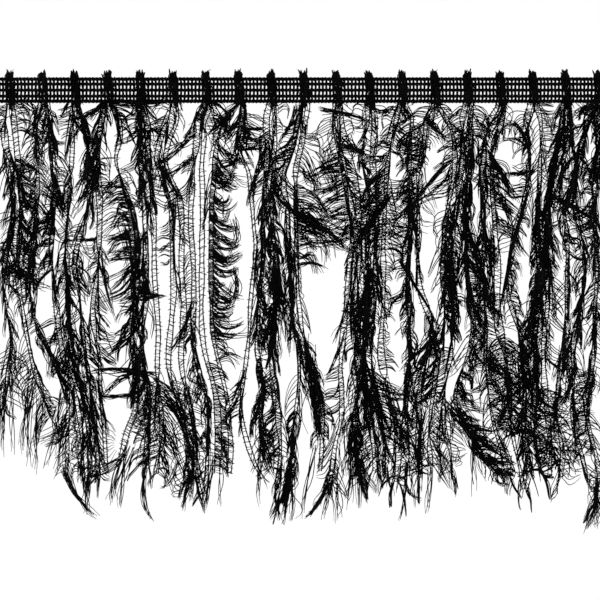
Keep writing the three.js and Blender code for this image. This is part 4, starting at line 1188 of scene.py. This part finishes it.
LEG_SPREAD = 0.0012
LOOP_SEAT_Y = -0.0011
LOOP_SWAY = 0.0002
LOOP_LEAN = 0.0005
LOOP_THREAD_GAP = 0.00042
LEG_STEPS = 10
TURN_STEPS = 8
CROWN_BELOW_TOP = 0.0006
BAND_LASHES = 120
BAND_STEPS = 4
BAND_FORWARD = 0.0004
CREST_LASHES = 34
CREST_HEFT = 1.9
STRAY_HAIRS = (0, 0, 0, 1, 2)
STRAY_LENGTH = 0.0036
STRAY_STEPS = 6
STRAY_HEFT = 0.7


def loop_line(x, offset):
    """Gives one thread of a hairpin, up, round and down, bedded in the chains between its feet."""
    low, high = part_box("yarn_loop_01")
    radius = LEG_SPREAD + offset
    crown = high.z - CROWN_BELOW_TOP - LEG_SPREAD
    points = [Vector((x - radius, YARN_PLANE_Y, low.z))]
    for step in range(LEG_STEPS):
        z = low.z + (crown - low.z) * (step + 0.5) / LEG_STEPS
        y = LOOP_SEAT_Y + LOOP_SWAY * math.sin(step * 2.4)
        points.append(Vector((x - radius - LOOP_LEAN * z / crown, y, z)))
    for step in range(1, TURN_STEPS):
        turn = math.pi * step / TURN_STEPS
        along = x - LOOP_LEAN - radius * math.cos(turn)
        points.append(Vector((along, LOOP_SEAT_Y, crown + radius * math.sin(turn))))
    for step in reversed(range(LEG_STEPS)):
        z = low.z + (crown - low.z) * (step + 0.5) / LEG_STEPS
        y = LOOP_SEAT_Y + LOOP_SWAY * math.cos(step * 2.1)
        points.append(Vector((x + radius - LOOP_LEAN * z / crown, y, z)))
    return points + [Vector((x + radius, YARN_PLANE_Y, low.z))]


def band_lash(x, chance):
    """Gives one lash that lies down the front of the tape, crushed by the chains."""
    z = chance.uniform(-0.0050, 0.0052)
    start = Vector((x + 0.0001 - 0.06 * z + chance.gauss(0, 0.0009), LOOP_SEAT_Y - BAND_FORWARD, z))
    start.y += chance.uniform(-0.0004, 0.0006)
    lean = chance.gauss(0.10, 0.22)
    length = chance.uniform(0.0018, 0.0042)
    points = []
    for step in range(BAND_STEPS + 1):
        share = step / BAND_STEPS
        drop = length * share
        points.append(start + Vector((lean * drop, -0.0002 * math.sin(math.pi * share), -drop)))
    return points, lash_radii(len(points))


def crest_lash(x, chance):
    """Gives one of the stout lashes that stand up over the turn of the hairpin."""
    across = chance.uniform(-0.0015, 0.0008)
    y = LOOP_SEAT_Y + chance.uniform(-0.0005, 0.0008)
    start = Vector((x + across, y, chance.uniform(0.0030, 0.0050)))
    lean = chance.gauss(-0.02, 0.07)
    length = chance.triangular(0.0016, 0.0040, 0.0022)
    points = []
    for step in range(BAND_STEPS + 1):
        share = step / BAND_STEPS
        rise = length * share
        points.append(start + Vector((lean * rise * (1 + share), 0, rise)))
    return points, lash_radii(len(points), CREST_HEFT)


def stray_hair(x, chance):
    """Gives one fine loose hair that bends away from the crest."""
    start = Vector((x + chance.uniform(-0.0012, 0.0010), LOOP_SEAT_Y, 0.0058))
    lean = chance.choice((-1, 1)) * chance.uniform(0.1, 0.7)
    points = []
    for step in range(STRAY_STEPS + 1):
        share = step / STRAY_STEPS
        aside = STRAY_LENGTH * lean * share ** 1.5
        rise = STRAY_LENGTH * share * (1 - 0.4 * share)
        points.append(start + Vector((aside, 0, rise)))
    return points, lash_radii(len(points), STRAY_HEFT)


for yarn_index in range(YARN_COUNT):
    name = f"yarn_loop_{yarn_index + 1:02d}"
    chance = random.Random(name)
    x = yarn_x(yarn_index)
    lines = []
    for offset in (-LOOP_THREAD_GAP, LOOP_THREAD_GAP):
        line = loop_line(x, offset)
        lines.append((line, [THREAD_RADIUS] * len(line)))
    loop = yarn_piece(name + "_threads", lines, thread_finish, 1)
    hairs = [band_lash(x, chance) for _ in range(BAND_LASHES)]
    hairs += [crest_lash(x, chance) for _ in range(CREST_LASHES)]
    hairs += [stray_hair(x, chance) for _ in range(chance.choice(STRAY_HAIRS))]
    crest = yarn_piece(name + "_lashes", hairs, lash_finish, 0)
    for piece in (loop, crest):
        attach(piece, "heading")
    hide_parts(name)


# ---- Studio
# A plain pale floor runs up into a round pale wall, open above, lit softly from the sky and by one
# large soft lamp in front.

FLOOR_Z = -0.26
ROOM_RADIUS = 3.2
WALL_HEIGHT = 3.4
COVE_RADIUS = 0.9

room = bmesh.new()
rim = [room.verts.new((0, 0, FLOOR_Z)), room.verts.new((ROOM_RADIUS - COVE_RADIUS, 0, FLOOR_Z))]
for step in range(1, 9):
    turn = math.pi / 2 * step / 8
    rim.append(room.verts.new((ROOM_RADIUS - COVE_RADIUS + COVE_RADIUS * math.sin(turn), 0,
                               FLOOR_Z + COVE_RADIUS * (1 - math.cos(turn)))))
rim.append(room.verts.new((ROOM_RADIUS, 0, FLOOR_Z + WALL_HEIGHT)))
edges = [room.edges.new(pair) for pair in zip(rim, rim[1:])]
bmesh.ops.spin(room, geom=rim + edges, cent=(0, 0, 0), axis=(0, 0, 1), angle=2 * math.pi, steps=64,
               use_merge=True)
bmesh.ops.remove_doubles(room, verts=room.verts, dist=0.0001)
bmesh.ops.recalc_face_normals(room, faces=room.faces)
backdrop_mesh = bpy.data.meshes.new("backdrop")
room.to_mesh(backdrop_mesh)
room.free()
backdrop_mesh.shade_smooth()
backdrop = bpy.data.objects.new("backdrop", backdrop_mesh)
scene.collection.objects.link(backdrop)
paper = bpy.data.materials.new("pale_paper")
paper.use_nodes = True
paper_shader = paper.node_tree.nodes["Principled BSDF"]
paper_shader.inputs["Base Color"].default_value = (0.5, 0.5, 0.5, 1)
paper_shader.inputs["Roughness"].default_value = 0.9
paper_shader.inputs["Specular IOR Level"].default_value = 0.1
paper_shader.inputs["Emission Color"].default_value = (1, 1, 1, 1)
paper_shader.inputs["Emission Strength"].default_value = 0.5
backdrop_mesh.materials.append(paper)

sky = bpy.data.worlds.new("sky")
sky.use_nodes = True
sky.node_tree.nodes["Background"].inputs["Color"].default_value = (1, 1, 1, 1)
sky.node_tree.nodes["Background"].inputs["Strength"].default_value = 1.0
scene.world = sky

soft_box = bpy.data.lights.new("soft_box", "AREA")
soft_box.energy = 3
soft_box.size = 1.2
soft_lamp = bpy.data.objects.new("soft_box", soft_box)
scene.collection.objects.link(soft_lamp)
soft_lamp.location = (-0.6, -1.6, 0.9)
soft_lamp.rotation_euler = (VIEW_CENTRE - soft_lamp.location).to_track_quat("-Z", "Y").to_euler()
scene.view_settings.view_transform = "Standard"
